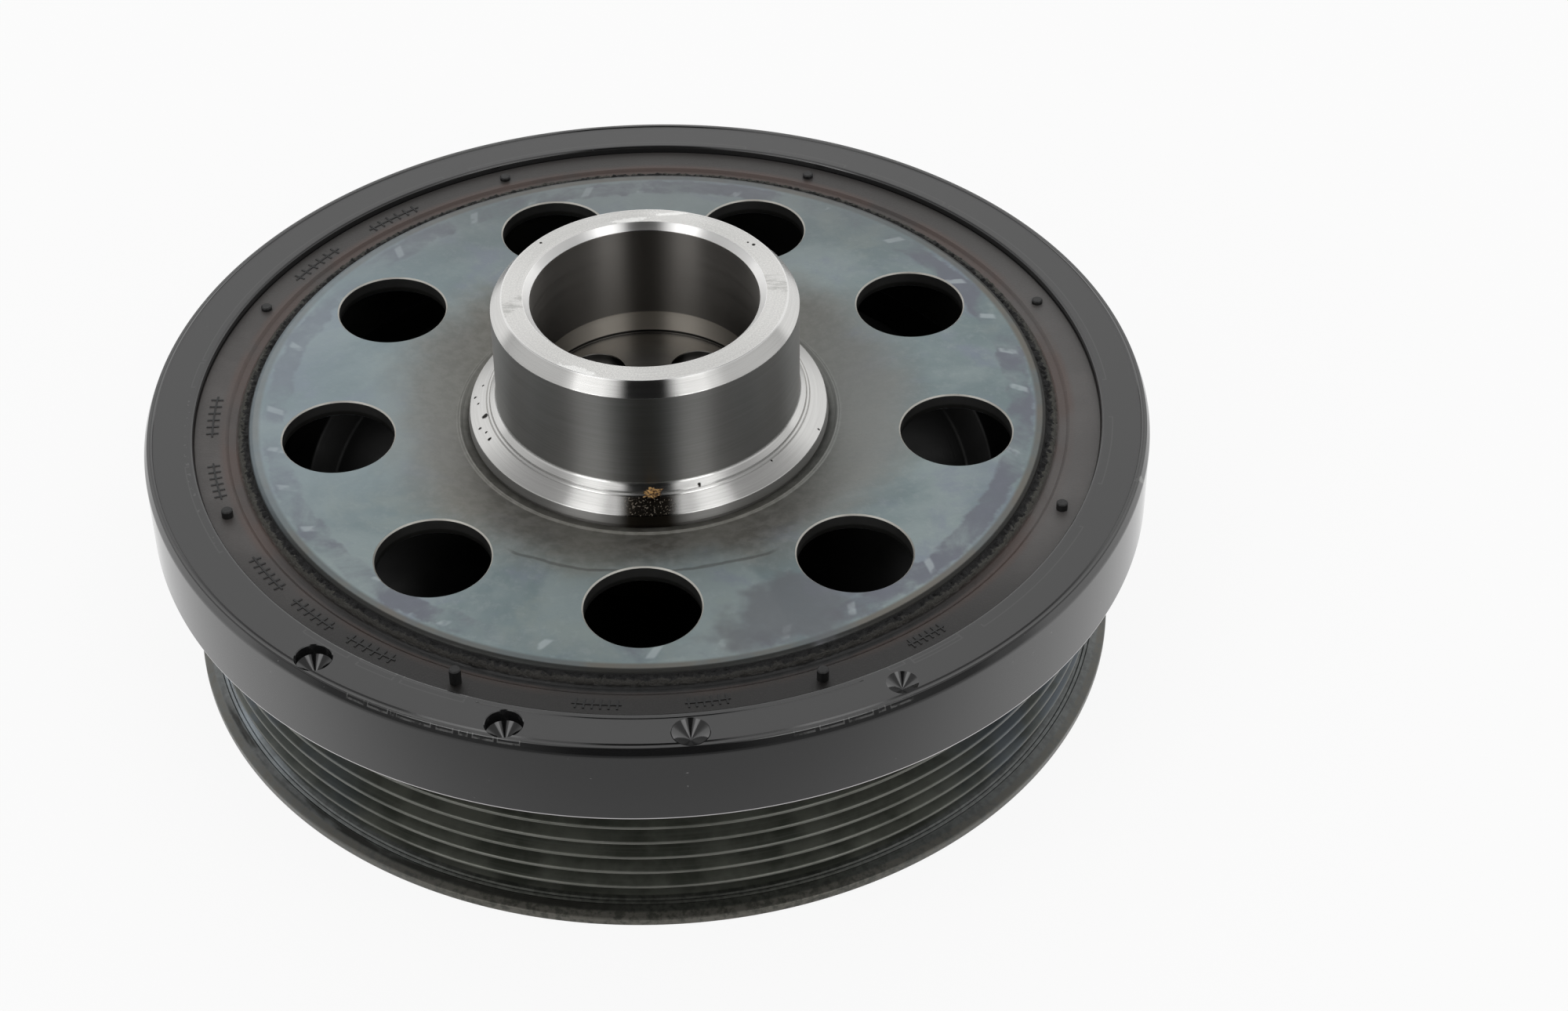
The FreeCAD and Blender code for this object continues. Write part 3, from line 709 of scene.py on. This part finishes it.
def black_paint():
    """Glossy black, with thin lines and worn dashes on top drawn light as painted highlights, specks on top
    and a bare line at its foot.
    """
    look = Look("black_paint")
    speck = look.ramp(look.noise(1.1, 2.0, 0.5), 0.765, 0.79)
    look.colour = look.mix(speck, (0.009, 0.009, 0.0092), (0.14, 0.14, 0.14))

    # Dashes on the worn outer edge, drawn as outlines: the peeled edges are real, their light colour a
    # painted highlight
    low, high = WORN_BAND
    outer = look.both(look.runs(WORN_RUNS, 0.05), look.band(look.radius, low, high, 0.05))
    shorter = [(start + WORN_LINE_DEGREES, end - WORN_LINE_DEGREES) for start, end in WORN_RUNS]
    within = look.both(look.runs(shorter, 0.05),
                       look.band(look.radius, low + WORN_LINE, high - WORN_LINE, 0.05))
    worn = look.both(look.math("SUBTRACT", outer, within, clamp=True),
                     look.ramp(look.noise(0.8, 3.0, 0.6), 0.38, 0.55, 0.1, 0.6))
    look.cover(worn, (0.15, 0.15, 0.147))
    specks = look.both(look.runs((SPECK_RUN,)), look.band(look.radius, *SPECK_BAND, 0.1),
                       look.ramp(look.noise(0.9, 2.0, 0.5), 0.62, 0.66))
    look.cover(specks, (0.16, 0.16, 0.155))

    # Lip lines, whose ends hook inward, and the line round the outer edge, left out in front: raised lines
    # drawn light as painted highlights
    drawn = []
    for line, line_runs in LIP_LINES:
        ends = [(end - 0.12, end + 0.04) for run in line_runs for end in run]
        drawn.append(look.both(look.runs(line_runs, 0.1),
                               look.band(look.radius, line - 0.10, line + 0.06, 0.06)))
        drawn.append(look.both(look.runs(ends, 0.06), look.band(look.radius, line - LIP_HOOK, line, 0.08)))
    rim = look.both(look.band(look.radius, RING_BAND + 0.55, RING_BAND + 0.75, 0.1),
                    look.inverse(look.runs((FRONT_RUN,), 8.0)))
    drawn = look.math("MAXIMUM", look.both(look.either(drawn), 0.7), rim)
    look.cover(drawn, (0.12, 0.12, 0.117))

    # Two nicks in the top edge, and the bare foot
    nicks = look.patches([(*on_circle(RING_RADIUS - 0.6, angle), 2.4, 0.7, angle + 60.0, 0.8)
                          for angle in RIM_NICKS])
    nicks = look.both(nicks, look.ramp(look.z, DISC_TOP - 1.8, DISC_TOP - 1.2))
    look.cover(nicks, (0.16, 0.16, 0.155))
    foot = look.both(look.ramp(look.z, RING_BOTTOM + 0.5, RING_BOTTOM + 0.38),
                     look.ramp(look.radius, RING_RADIUS - 0.35, RING_RADIUS - 0.2))
    look.cover(foot, (0.62, 0.60, 0.61))
    top = look.ramp(look.upward, 0.93, 0.99)
    look.cover(top, (0.019, 0.019, 0.019), 0.7)
    return look.finished(Metallic=foot, IOR=1.76, Roughness=look.line(top, 0.24, 0.09))


def oiled_steel():
    """Spun steel under oil: bare crests, a painted bluish highlight at the sides, a mottled lower flange
    and a web painted black as shade.
    """
    look = Look("oiled_steel")
    cloud = look.noise(0.10, 4.0, 0.6)
    grit = look.noise(0.8, 4.0, 0.65)
    lines = look.turning(3.0, 2.0, 3.0)
    look.colour = look.mix(look.ramp(cloud, 0.35, 0.65), (0.075, 0.080, 0.066), (0.145, 0.150, 0.128))
    look.cover(look.ramp(lines, 0.45, 0.8, 0.0, 0.6), (0.15, 0.158, 0.14))
    # Painted highlight: a bluish sheen on the left and right sides
    sides = look.ramp(look.math("ABSOLUTE", look.x), 42.0, 66.0)
    painted_blue_highlight = look.both(sides, look.ramp(look.noise(0.07, 3.0, 0.6), 0.4, 0.6, 0.2, 0.9))
    look.cover(painted_blue_highlight, (0.135, 0.155, 0.175))
    crest = look.band(look.radius, CREST_RADIUS - 0.05, CREST_RADIUS + 0.3, 0.06)
    look.cover(look.both(crest, look.ramp(look.turning(1.5, 9.0, 3.0), 0.3, 0.6, 0.15, 0.7)),
               (0.22, 0.22, 0.20))

    # The lower flange: mottled, painted lighter at the sides and palest at the far left as painted
    # highlights, with dark drips at its left front
    face = look.both(look.ramp(look.z, 3.9, 3.6),
                     look.ramp(look.radius, CREST_RADIUS - 1.2, CREST_RADIUS - 0.9))
    mottling = look.ramp(grit, 0.38, 0.6)
    mottled = look.mix(mottling, (0.030, 0.032, 0.027), (0.052, 0.054, 0.047))
    light = look.mix(mottling, (0.160, 0.168, 0.166), (0.205, 0.216, 0.215))
    # Painted light: the flange's sides take the lighter copy
    turned = look.math("MAXIMUM", look.ramp(look.x, -25.0, -68.0), look.ramp(look.x, 25.0, 68.0, 0.0, 0.72))
    look.cover(face, look.mix(turned, mottled, light))
    dark = look.both(look.band(look.radius, FLANGE_RADIUS - 2.4, FLANGE_RADIUS - 1.7, 0.6), face,
                     look.ramp(look.turning(0.5, 9.0, 4.0), 0.62, 0.40, 0.2, 0.9),
                     look.runs(((205.0, 262.0),), 10.0))
    look.cover(dark, (0.022, 0.021, 0.018))
    # Painted highlight, palest at the far left
    pale = look.both(look.ramp(look.x, -58.0, -72.0),
                     look.ramp(look.radius, FLANGE_RADIUS - 2.2, FLANGE_RADIUS - 3.4),
                     look.both(face, look.ramp(cloud, 0.35, 0.6, 0.4, 1.0)))
    look.cover(pale, (0.36, 0.40, 0.43))
    rim = look.both(look.ramp(look.radius, FLANGE_RADIUS - 1.6, FLANGE_RADIUS - 1.1),
                    look.ramp(look.z, 3.0, 2.0), look.ramp(grit, 0.36, 0.60, 0.25, 0.8))
    look.cover(rim, (0.14, 0.133, 0.115))

    # The web's upper side, painted black as shade where the disc's holes show it
    drum = CREST_RADIUS - GROOVE_DEPTH
    web_top = PULLEY_TOP - WEB_DROP
    web = look.both(look.ramp(look.radius, drum - 0.6, drum - 1.2),
                    look.ramp(look.z, web_top - 1.0, web_top - 0.5))
    look.cover(web, (0.004, 0.004, 0.0038))
    return look.finished(Metallic=0.65, Roughness=look.ramp(cloud, 0.2, 0.8, 0.30, 0.46),
                         Normal=look.bump(lines, 0.015))


def rust():
    look = Look("rust")
    grain = look.ramp(look.noise(2.2, 4.0, 0.65), 0.44, 0.58)
    look.colour = look.mix(grain, (0.07, 0.035, 0.015), (0.58, 0.35, 0.13))
    return look.finished(Metallic=0.0, Roughness=0.75)


# Pieces

def make_hub(finish):
    shoulder = DISC_TOP - SHOULDER_DROP
    seat = DISC_TOP - DISH_DEPTH - DISC_THICKNESS
    flange_bottom = seat - SEAT_FLANGE_THICKNESS
    web_top = PULLEY_TOP - WEB_DROP
    relief = BORE_RADIUS + RELIEF_DEPTH
    outline = [Vector((0, SOCKET_CEILING))] + rounded([
        (0.01, SOCKET_CEILING, 0),
        (SOCKET_RADIUS, SOCKET_CEILING, 0.5),
        (SOCKET_RADIUS, HUB_BOTTOM, 0.4),
        (PULLEY_SEAT_RADIUS, HUB_BOTTOM, 0.4),
        (PULLEY_SEAT_RADIUS, web_top, 0),
        (WAIST_RADIUS, web_top, 0.4),
        (WAIST_RADIUS, flange_bottom - SEAT_FLANGE_SLOPE, 1.0),
        (SEAT_FLANGE_RADIUS, flange_bottom, 0.6),
        (SEAT_FLANGE_RADIUS, seat, 0.4),
        (SEAT_RADIUS, seat, 0),
        (SEAT_RADIUS, shoulder - SHOULDER_SIDE - 0.3, 0),
        (SHOULDER_RADIUS + 0.3, shoulder - SHOULDER_SIDE, 0.12),
        (SHOULDER_RADIUS, shoulder, 0.25),
        *[(across, DISC_TOP + up, radius) for across, up, radius in SHOULDER_LINES],
        (NOSE_RADIUS, DISC_TOP + NOSE_FOOT, NOSE_FILLET),
        (NOSE_RADIUS, NOSE_TOP - NOSE_CHAMFER_HEIGHT, 0.25),
        (NOSE_RADIUS - NOSE_CHAMFER_WIDTH, NOSE_TOP, 0.2),
        (BORE_RADIUS + BORE_CHAMFER, NOSE_TOP, 0.12),
        (BORE_RADIUS, NOSE_TOP - BORE_CHAMFER, 0.15),
        (BORE_RADIUS, FLOOR_HEIGHT + RELIEF_HEIGHT, 0),
        (relief, FLOOR_HEIGHT + RELIEF_HEIGHT - RELIEF_DEPTH, 0),
        (relief, FLOOR_HEIGHT, 0),
        (0.01, FLOOR_HEIGHT, 0),
    ]) + [Vector((0, FLOOR_HEIGHT))]
    mesh = turned_mesh("hub_turned", outline, 384)
    low = SOCKET_CEILING - 2
    high = FLOOR_HEIGHT + 2
    hole = [(0, low), (BOLT_RADIUS, low), (BOLT_RADIUS, high), (0, high)]
    cutters = ring_of_cutters(hole, BOLT_CIRCLE, FIRST_BOLT_ANGLE, BOLT_COUNT)
    piece = new_piece("hub_turned", cut(mesh, cutters), finish)
    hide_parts("hub")


def make_disc(finish):
    dish = DISC_TOP - DISH_DEPTH
    inside = DISC_RADIUS - DISC_THICKNESS
    low = DISC_TOP - DISC_THICKNESS
    outline = rounded([
        (SEAT_RADIUS, dish - DISC_THICKNESS, 0),
        (DISH_RADIUS, low, DISH_BLEND),
        (inside, low, DISC_INNER_EDGE),
        (inside, DRUM_BOTTOM, DRUM_EDGE),
        (DISC_RADIUS, DRUM_BOTTOM, DRUM_EDGE),
        (DISC_RADIUS, DISC_TOP, DISC_EDGE),
        (DISH_RADIUS, DISC_TOP, DISH_BLEND),
        *[(SEAT_RADIUS + out, dish + up, radius) for out, up, radius in BEAD],
        (SEAT_RADIUS, dish + BEAD_FOOT, 0),
    ], 7)
    mesh = turned_mesh("disc_pressed", outline, 360)
    hole = [
        (0, low - 1),
        (HOLE_RADIUS + HOLE_UNDER_EDGE, low - 1),
        (HOLE_RADIUS + HOLE_UNDER_EDGE, low),
        (HOLE_RADIUS, low + HOLE_UNDER_EDGE),
        (HOLE_RADIUS, DISC_TOP - HOLE_EDGE),
        (HOLE_RADIUS + HOLE_EDGE, DISC_TOP),
        (HOLE_RADIUS + HOLE_EDGE, DISC_TOP + 1),
        (0, DISC_TOP + 1),
    ]
    cutters = ring_of_cutters(hole, HOLE_CIRCLE, FIRST_HOLE_ANGLE, HOLE_COUNT)
    piece = new_piece("disc_pressed", cut(mesh, cutters), finish)
    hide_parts("carrier_disc")


def make_rubber(finish):
    face = DISC_TOP - RUBBER_RECESS
    flash_end = DISC_RADIUS + FLASH_WIDTH
    trough = DISC_RADIUS + TROUGH_START
    trough_end = trough + TROUGH_WIDTH + TROUGH_DEPTH
    top = []
    for across in numpy.arange(RING_INSIDE, DISC_RADIUS - 0.01, -RUBBER_STEP):
        if across > RING_INSIDE - 0.1:
            up = face - JOINT_DEPTH
        elif across > trough_end:
            up = face
        elif across > trough:
            up = face - TROUGH_DEPTH * min(1, (trough_end - across) / TROUGH_WALL)
        elif across > flash_end:
            share = (trough - across) / (trough - flash_end)
            up = face - TROUGH_DEPTH + share * (RUBBER_RECESS + TROUGH_DEPTH - FLASH_RECESS)
        else:
            up = DISC_TOP - FLASH_RECESS
        top.append((across, up))
    outline = [(DISC_RADIUS, RUBBER_BOTTOM), (RING_INSIDE, RUBBER_BOTTOM), *top]

    def ragged(across, up, degrees):
        """Roughens the flash, except where it meets the disc."""
        rough = numpy.vectorize(lambda r, a: noise.noise(
            Vector((r * math.cos(math.radians(a)) * 1.3, r * math.sin(math.radians(a)) * 1.3, 3.0))))
        depth = numpy.where((across < flash_end + 0.3) & (up > face), FLASH_ROUGHNESS, 0.0)
        depth = numpy.where(across <= DISC_RADIUS + 0.01, 0.0, depth)
        return across, up + depth * (rough(across, degrees) - 0.35)

    mesh = turned_mesh("rubber_moulded", outline, 1200, ragged)
    piece = new_piece("rubber_moulded", mesh, finish)
    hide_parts("damper_rubber")
    for number, height in enumerate(SPRUE_HEIGHTS):
        stub = [(0, face - 0.4), (SPRUE_RADIUS, face - 0.4), (SPRUE_RADIUS, face + height - 0.2),
                (SPRUE_RADIUS - 0.2, face + height), (0, face + height)]
        mesh = upright_cutter(stub, *on_circle(SPRUE_CIRCLE, FIRST_SPRUE_ANGLE + 45 * number), 32)
        new_piece("sprue_%d" % (number + 1), mesh, finish)
    new_piece("raised_scales", scale_marks(face), finish)


def scale_marks(face):
    """Thin raised scales on the rubber: a run of arc each, crossed by short ticks."""
    shape = bmesh.new()

    def bar(inner, outer, low, high):
        corners = []
        for up in (face - 0.1, face + LINE_HEIGHT):
            for across, degrees in ((inner, low), (outer, low), (outer, high), (inner, high)):
                corners.append(shape.verts.new((*on_circle(across, degrees), up)))
        bottom, top = corners[:4], corners[4:]
        shape.faces.new(bottom[::-1])
        shape.faces.new(top)
        for side in range(4):
            beside = (side + 1) % 4
            shape.faces.new((bottom[side], bottom[beside], top[beside], top[side]))

    inner = SCALE_CIRCLE - LINE_WIDTH / 2
    outer = SCALE_CIRCLE + LINE_WIDTH / 2
    half = math.degrees(LINE_WIDTH / SCALE_CIRCLE) / 2
    for start, end in RAISED_SCALES:
        step = (end - start) / SCALE_BARS
        for number in range(SCALE_BARS):
            bar(inner, outer, start + step * number, start + step * (number + 1))
        for tick in range(SCALE_TICKS):
            middle = start + (end - start) * (tick + 0.5) / SCALE_TICKS
            bar(outer + TICK_GAP, SCALE_CIRCLE + TICK_LENGTH / 2, middle - half, middle + half)
            bar(SCALE_CIRCLE - TICK_LENGTH / 2, inner - TICK_GAP, middle - half, middle + half)
    mesh = bpy.data.meshes.new("raised_scales")
    shape.to_mesh(mesh)
    shape.free()
    mesh.transform(Matrix.Scale(MM, 4))
    return mesh


def make_rust_chip(finish):
    """A crumb of rust at the foot of the nose."""
    shape = bmesh.new()
    bmesh.ops.create_icosphere(shape, subdivisions=4, radius=1.0)
    for vertex in shape.verts:
        bulge = 0.78 + 0.65 * noise.noise(vertex.co * 1.3 + Vector((4.1, 2.7, 0.3)))
        bulge += 0.55 * noise.noise(vertex.co * 3.5 + Vector((1.0, 8.0, 2.0)))
        vertex.co = Vector(CRUMB_STRETCH) * vertex.co * bulge
    mesh = bpy.data.meshes.new("rust_chip")
    shape.to_mesh(mesh)
    shape.free()
    mesh.transform(Matrix.Translation(Vector(CRUMB_PLACE) * MM) @ Matrix.Scale(CRUMB_SIZE * MM, 4))
    new_piece("rust_chip", mesh, finish)


def make_ring(finish):
    line_rows = (LINE_HALF_WIDTH + LINE_SUPPORT, LINE_HALF_WIDTH, 0.0,
                 -LINE_HALF_WIDTH, -LINE_HALF_WIDTH - LINE_SUPPORT)
    outline = rounded([
        (RING_INSIDE, RING_BOTTOM, 0.4),
        (RING_RADIUS, RING_BOTTOM, 0.4),
        (RING_RADIUS, DISC_TOP - RING_EDGE_HEIGHT, RING_EDGE_ROUNDING),
        (RING_RADIUS - RING_EDGE_WIDTH, DISC_TOP, 0.25),
        (RING_BAND + BAND_OUTSIDE + LINE_SUPPORT, DISC_TOP, 0),
        (RING_BAND + BAND_OUTSIDE, DISC_TOP, 0),
        (RING_BAND, DISC_TOP + BAND_HEIGHT, 0),
        (RING_BAND - BAND_INSIDE, DISC_TOP, 0),
        (RING_BAND - BAND_INSIDE - LINE_SUPPORT, DISC_TOP, 0),
        *[(RING_LIP + row, DISC_TOP, 0) for row in line_rows],
        (RING_INSIDE, DISC_TOP, 0.5),
    ])

    def front_line(across, up, degrees):
        """Raises the middle row of the lip line in front."""
        middle = (up > DISC_TOP - 0.01) & (abs(across - RING_LIP) < 0.01)
        raised = middle & (degrees > FRONT_RUN[0]) & (degrees < FRONT_RUN[1])
        return across, up + LINE_HEIGHT * raised

    mesh = turned_mesh("ring_turned", outline, 1080, front_line)
    point = DRILL_RADIUS / math.tan(math.radians(DRILL_POINT_HALF_ANGLE))
    cutters = []
    for angle, depth in DRILLINGS:
        tip = DISC_TOP - depth
        drill = [(0, tip), (DRILL_TIP, tip + point * DRILL_TIP / DRILL_RADIUS)]
        if depth > point:
            drill += [(DRILL_RADIUS, tip + point), (DRILL_RADIUS, DISC_TOP - DRILL_MOUTH),
                      (DRILL_RADIUS + DRILL_MOUTH, DISC_TOP),
                      (DRILL_RADIUS + DRILL_MOUTH, DISC_TOP + 1)]
        else:
            wide = depth / point * DRILL_RADIUS
            drill += [(wide, DISC_TOP), (wide, DISC_TOP + 1)]
        drill.append((0, DISC_TOP + 1))
        cutters.append(upright_cutter(drill, *on_circle(DRILL_CIRCLE, angle), 64))
    piece = new_piece("ring_turned", cut(mesh, cutters), finish)
    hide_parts("inertia_ring")


def make_pulley(finish):
    root = CREST_RADIUS - GROOVE_DEPTH
    inside = root - DRUM_WALL
    web_top = PULLEY_TOP - WEB_DROP
    half_root = GROOVE_ROOT_WIDTH / 2
    half_crest = half_root + GROOVE_DEPTH * GROOVE_SLOPE
    half_flange = half_root + (FLANGE_RADIUS - root) * GROOVE_SLOPE

    def on_flange(across):
        return FIRST_GROOVE - half_root - (across - root) * GROOVE_SLOPE

    corners = [
        (inside, 0.0, 0.4),
        (FLANGE_RADIUS, 0.0, 0.4),
        (FLANGE_RADIUS, FIRST_GROOVE - half_flange, 0.3),
        *[(across, on_flange(across) - depth, 0) for across, depth in FLANGE_LINES],
    ]
    for number in range(GROOVE_COUNT):
        middle = FIRST_GROOVE + GROOVE_PITCH * number
        if number > 0:
            corners.append((CREST_RADIUS, middle - half_crest, CREST_ROUNDING))
        corners.append((root, middle - half_root, ROOT_ROUNDING))
        corners.append((root, middle + half_root, ROOT_ROUNDING))
        if number < GROOVE_COUNT - 1:
            corners.append((CREST_RADIUS, middle + half_crest, CREST_ROUNDING))
    corners += [
        (FLANGE_RADIUS, PULLEY_TOP - FIRST_GROOVE + half_flange, 0.3),
        (FLANGE_RADIUS, PULLEY_TOP, 0.4),
        (WEB_STEP_OUTER, PULLEY_TOP, WEB_STEP_ROUNDING),
        (WEB_STEP_INNER, web_top, WEB_STEP_ROUNDING),
        (PULLEY_SEAT_RADIUS, web_top, 0.3),
        (PULLEY_SEAT_RADIUS, web_top - WEB_THICKNESS, 0.3),
        (WEB_STEP_INNER, web_top - WEB_THICKNESS, WEB_STEP_ROUNDING),
        (WEB_STEP_OUTER, PULLEY_TOP - WEB_THICKNESS, WEB_STEP_ROUNDING),
        (inside, PULLEY_TOP - WEB_THICKNESS, WEB_CORNER),
    ]
    mesh = turned_mesh("pulley_spun", rounded(corners, 3), 384)
    piece = new_piece("pulley_spun", mesh, finish)
    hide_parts("pulley")


# Studio. The sky's places are parts of a direction: x to the right, y away and z up.

SKY_LIGHT = 0.7
GAP_WIDTH = 0.075
GAP_SPREAD = 0.25
GAP_RISE = (0.60, 0.85)
GAP_INNER_EDGE = (-0.11, -0.03)
GAP_OUTER_EDGE = (0.17, 0.05)
GAP_SHADE = 0.99
BOX_RISE = (0.20, 0.80)
BOX_TURN = (1.1, 0.92)
BOX_LIGHT = 0.4
BOX_SIDES = (1.1, 0.8)
SIDE_TURN = (1.1, 1.4)
SIDE_SHADE = 0.35
LOW_SHADE = 0.8
STRIPS = ((-0.50, -0.31), (0.24, 0.43))
STRIP_RISE = (0.14, 0.44)
STRIP_MEETING = 0.766
STRIP_LIGHT = 2.2
LAMP_PLACE = (0.38, -0.16, 0.91)
LAMP_REACH = (0.15, 0.10)
LAMP_LIGHT = 1.35
FLOOR_SIDE = 6.0
FLOOR_GLOW = 0.9
# Darker reflections of the floor in front: from y to y in millimetres, and their least share
FLOOR_SHADES = ((-135.0, -60.0, 0.46), (-260.0, -160.0, 0.3))


class Sky(Look):
    """The world's nodes; it shares the material helper's calls."""

    def __init__(self):
        self.world = bpy.data.worlds.new("studio")
        self.world.use_nodes = True
        self.tree = self.world.node_tree
        self.background = self.tree.nodes["Background"]
        self.x, self.y, self.z = self.split(self.add("ShaderNodeTexCoord").outputs["Generated"])


def make_world():
    """Bright round about, with a dark gap above the camera between two soft boxes."""
    sky = Sky()
    toward_camera = sky.both(sky.y, -1.0)
    sideways = sky.math("ABSOLUTE", sky.x)
    round_from_camera = sky.math("ARCTAN2", sideways, toward_camera)
    front = sky.ramp(toward_camera, -0.15, 0.15)

    # The gap is wider toward the camera and softer low down
    edge = sky.line(sky.math("MAXIMUM", toward_camera, 0.0), GAP_SPREAD, GAP_WIDTH)
    lit = sky.ramp(sky.math("SUBTRACT", sideways, edge), sky.ramp(sky.z, *GAP_RISE, *GAP_INNER_EDGE),
                   sky.ramp(sky.z, *GAP_RISE, *GAP_OUTER_EDGE))
    gap = sky.both(front, sky.inverse(lit))

    # Soft boxes, less light high at the sides and low down
    box = sky.both(front, sky.band(sky.z, *BOX_RISE, 0.12), sky.ramp(round_from_camera, *BOX_TURN),
                   sky.ramp(sky.x, -0.1, 0.1, *BOX_SIDES))
    light = sky.line(box, BOX_LIGHT, SKY_LIGHT)
    high = sky.both(sky.ramp(sky.z, 0.55, 0.75), sky.ramp(sideways, 0.15, 0.35),
                    sky.ramp(round_from_camera, *SIDE_TURN))
    light = sky.line(high, -SIDE_SHADE, light)
    low = sky.both(sky.ramp(sky.z, 0.25, 0.05), sky.ramp(sky.y, 0.75, 0.45))
    light = sky.both(light, sky.line(low, -LOW_SHADE, 1.0))

    # Two upright strips, whose width follows the nose's reflections, and a lamp overhead
    meeting = sky.math("MAXIMUM", sky.math("ADD", toward_camera, STRIP_MEETING), 0.05)
    spread = sky.math("DIVIDE", sky.x, meeting)
    strips = sky.either([sky.band(spread, start, end, 0.07) for start, end in STRIPS])
    light = sky.line(sky.both(strips, sky.band(sky.z, *STRIP_RISE, 0.06)), STRIP_LIGHT, light)
    lamp = sky.add("ShaderNodeVectorMath", operation="DISTANCE")
    sky.feed(lamp.inputs[0], sky.vector(sideways, sky.y, sky.z))
    lamp.inputs[1].default_value = LAMP_PLACE
    light = sky.line(sky.ramp(lamp.outputs["Value"], *LAMP_REACH), LAMP_LIGHT, light)
    light = sky.both(light, sky.line(gap, -GAP_SHADE, 1.0))
    back = sky.both(sky.ramp(sky.y, 0.2, 0.5), sky.ramp(sky.z, 0.80, 0.62, 0.55, 1.0))
    light = sky.math("MAXIMUM", light, back)

    # White where the camera sees it
    rays = sky.add("ShaderNodeLightPath")
    seen = sky.math("MAXIMUM", rays.outputs["Is Camera Ray"], rays.outputs["Is Transmission Ray"])
    seen = sky.math("MAXIMUM", seen, sky.both(rays.outputs["Is Glossy Ray"], back))
    sky.fill(sky.background, Color=(1.0, 1.0, 1.0, 1.0), Strength=sky.math("MAXIMUM", light, seen))
    bpy.context.scene.world = sky.world


def make_floor():
    """A white floor that keeps the part's shadow and is clear from below."""
    half = FLOOR_SIDE / 2
    mesh = bpy.data.meshes.new("studio_floor")
    mesh.from_pydata([(-half, -half, 0), (half, -half, 0), (half, half, 0), (-half, half, 0)], [],
                     [(0, 1, 2, 3)])
    floor = in_scene("studio_floor", mesh)
    look = Look("studio_white")
    look.set(Base_Color=(0.92, 0.92, 0.92, 1.0), Roughness=0.9, Specular_IOR_Level=0.0)
    glow = look.add("ShaderNodeEmission")
    rays = look.add("ShaderNodeLightPath")
    straight = look.math("MAXIMUM", rays.outputs["Is Camera Ray"], rays.outputs["Is Transmission Ray"])
    shades = [look.ramp(look.y, near, far, least, 1.0) for near, far, least in FLOOR_SHADES]
    glossy = look.both(rays.outputs["Is Glossy Ray"], look.both(*shades))
    look.feed(glow.inputs["Strength"], look.math("MAXIMUM", straight, glossy))
    seen = look.math("MAXIMUM", straight, rays.outputs["Is Glossy Ray"])
    lit = look.wired("ShaderNodeMixShader", look.both(seen, FLOOR_GLOW),
                     look.shader.outputs[0], glow.outputs[0])
    from_below = look.add("ShaderNodeNewGeometry").outputs["Backfacing"]
    clear = look.wired("ShaderNodeBsdfTransparent")
    sides = look.wired("ShaderNodeMixShader", from_below, lit, clear)
    look.feed(look.tree.nodes["Material Output"].inputs["Surface"], sides)
    mesh.materials.append(look.material)


CAMERA_PLACE = (18.6, -448.0, 400.1)
CAMERA_TURN = -0.73
CAMERA_TILT = 49.76
CAMERA_ROLL = -0.178
CAMERA_LENS = 72.75
SENSOR_WIDTH = 36.0


def make_camera():
    camera = in_scene("camera", bpy.data.cameras.new("camera"))
    camera.data.sensor_width = SENSOR_WIDTH
    camera.data.lens = CAMERA_LENS
    turn = Matrix.Rotation(math.radians(CAMERA_TURN), 4, "Z")
    tilt = Matrix.Rotation(math.radians(CAMERA_TILT), 4, "X")
    roll = Matrix.Rotation(math.radians(CAMERA_ROLL), 4, "Z")
    camera.matrix_world = Matrix.Translation(Vector(CAMERA_PLACE) * MM) @ turn @ tilt @ roll
    bpy.context.scene.camera = camera


# The scene

make_hub(ground_steel())
make_disc(oxide_steel())
make_rubber(black_rubber())
make_ring(black_paint())
make_pulley(oiled_steel())
make_rust_chip(rust())
make_world()
make_floor()
make_camera()
bpy.context.scene.view_settings.view_transform = "Standard"
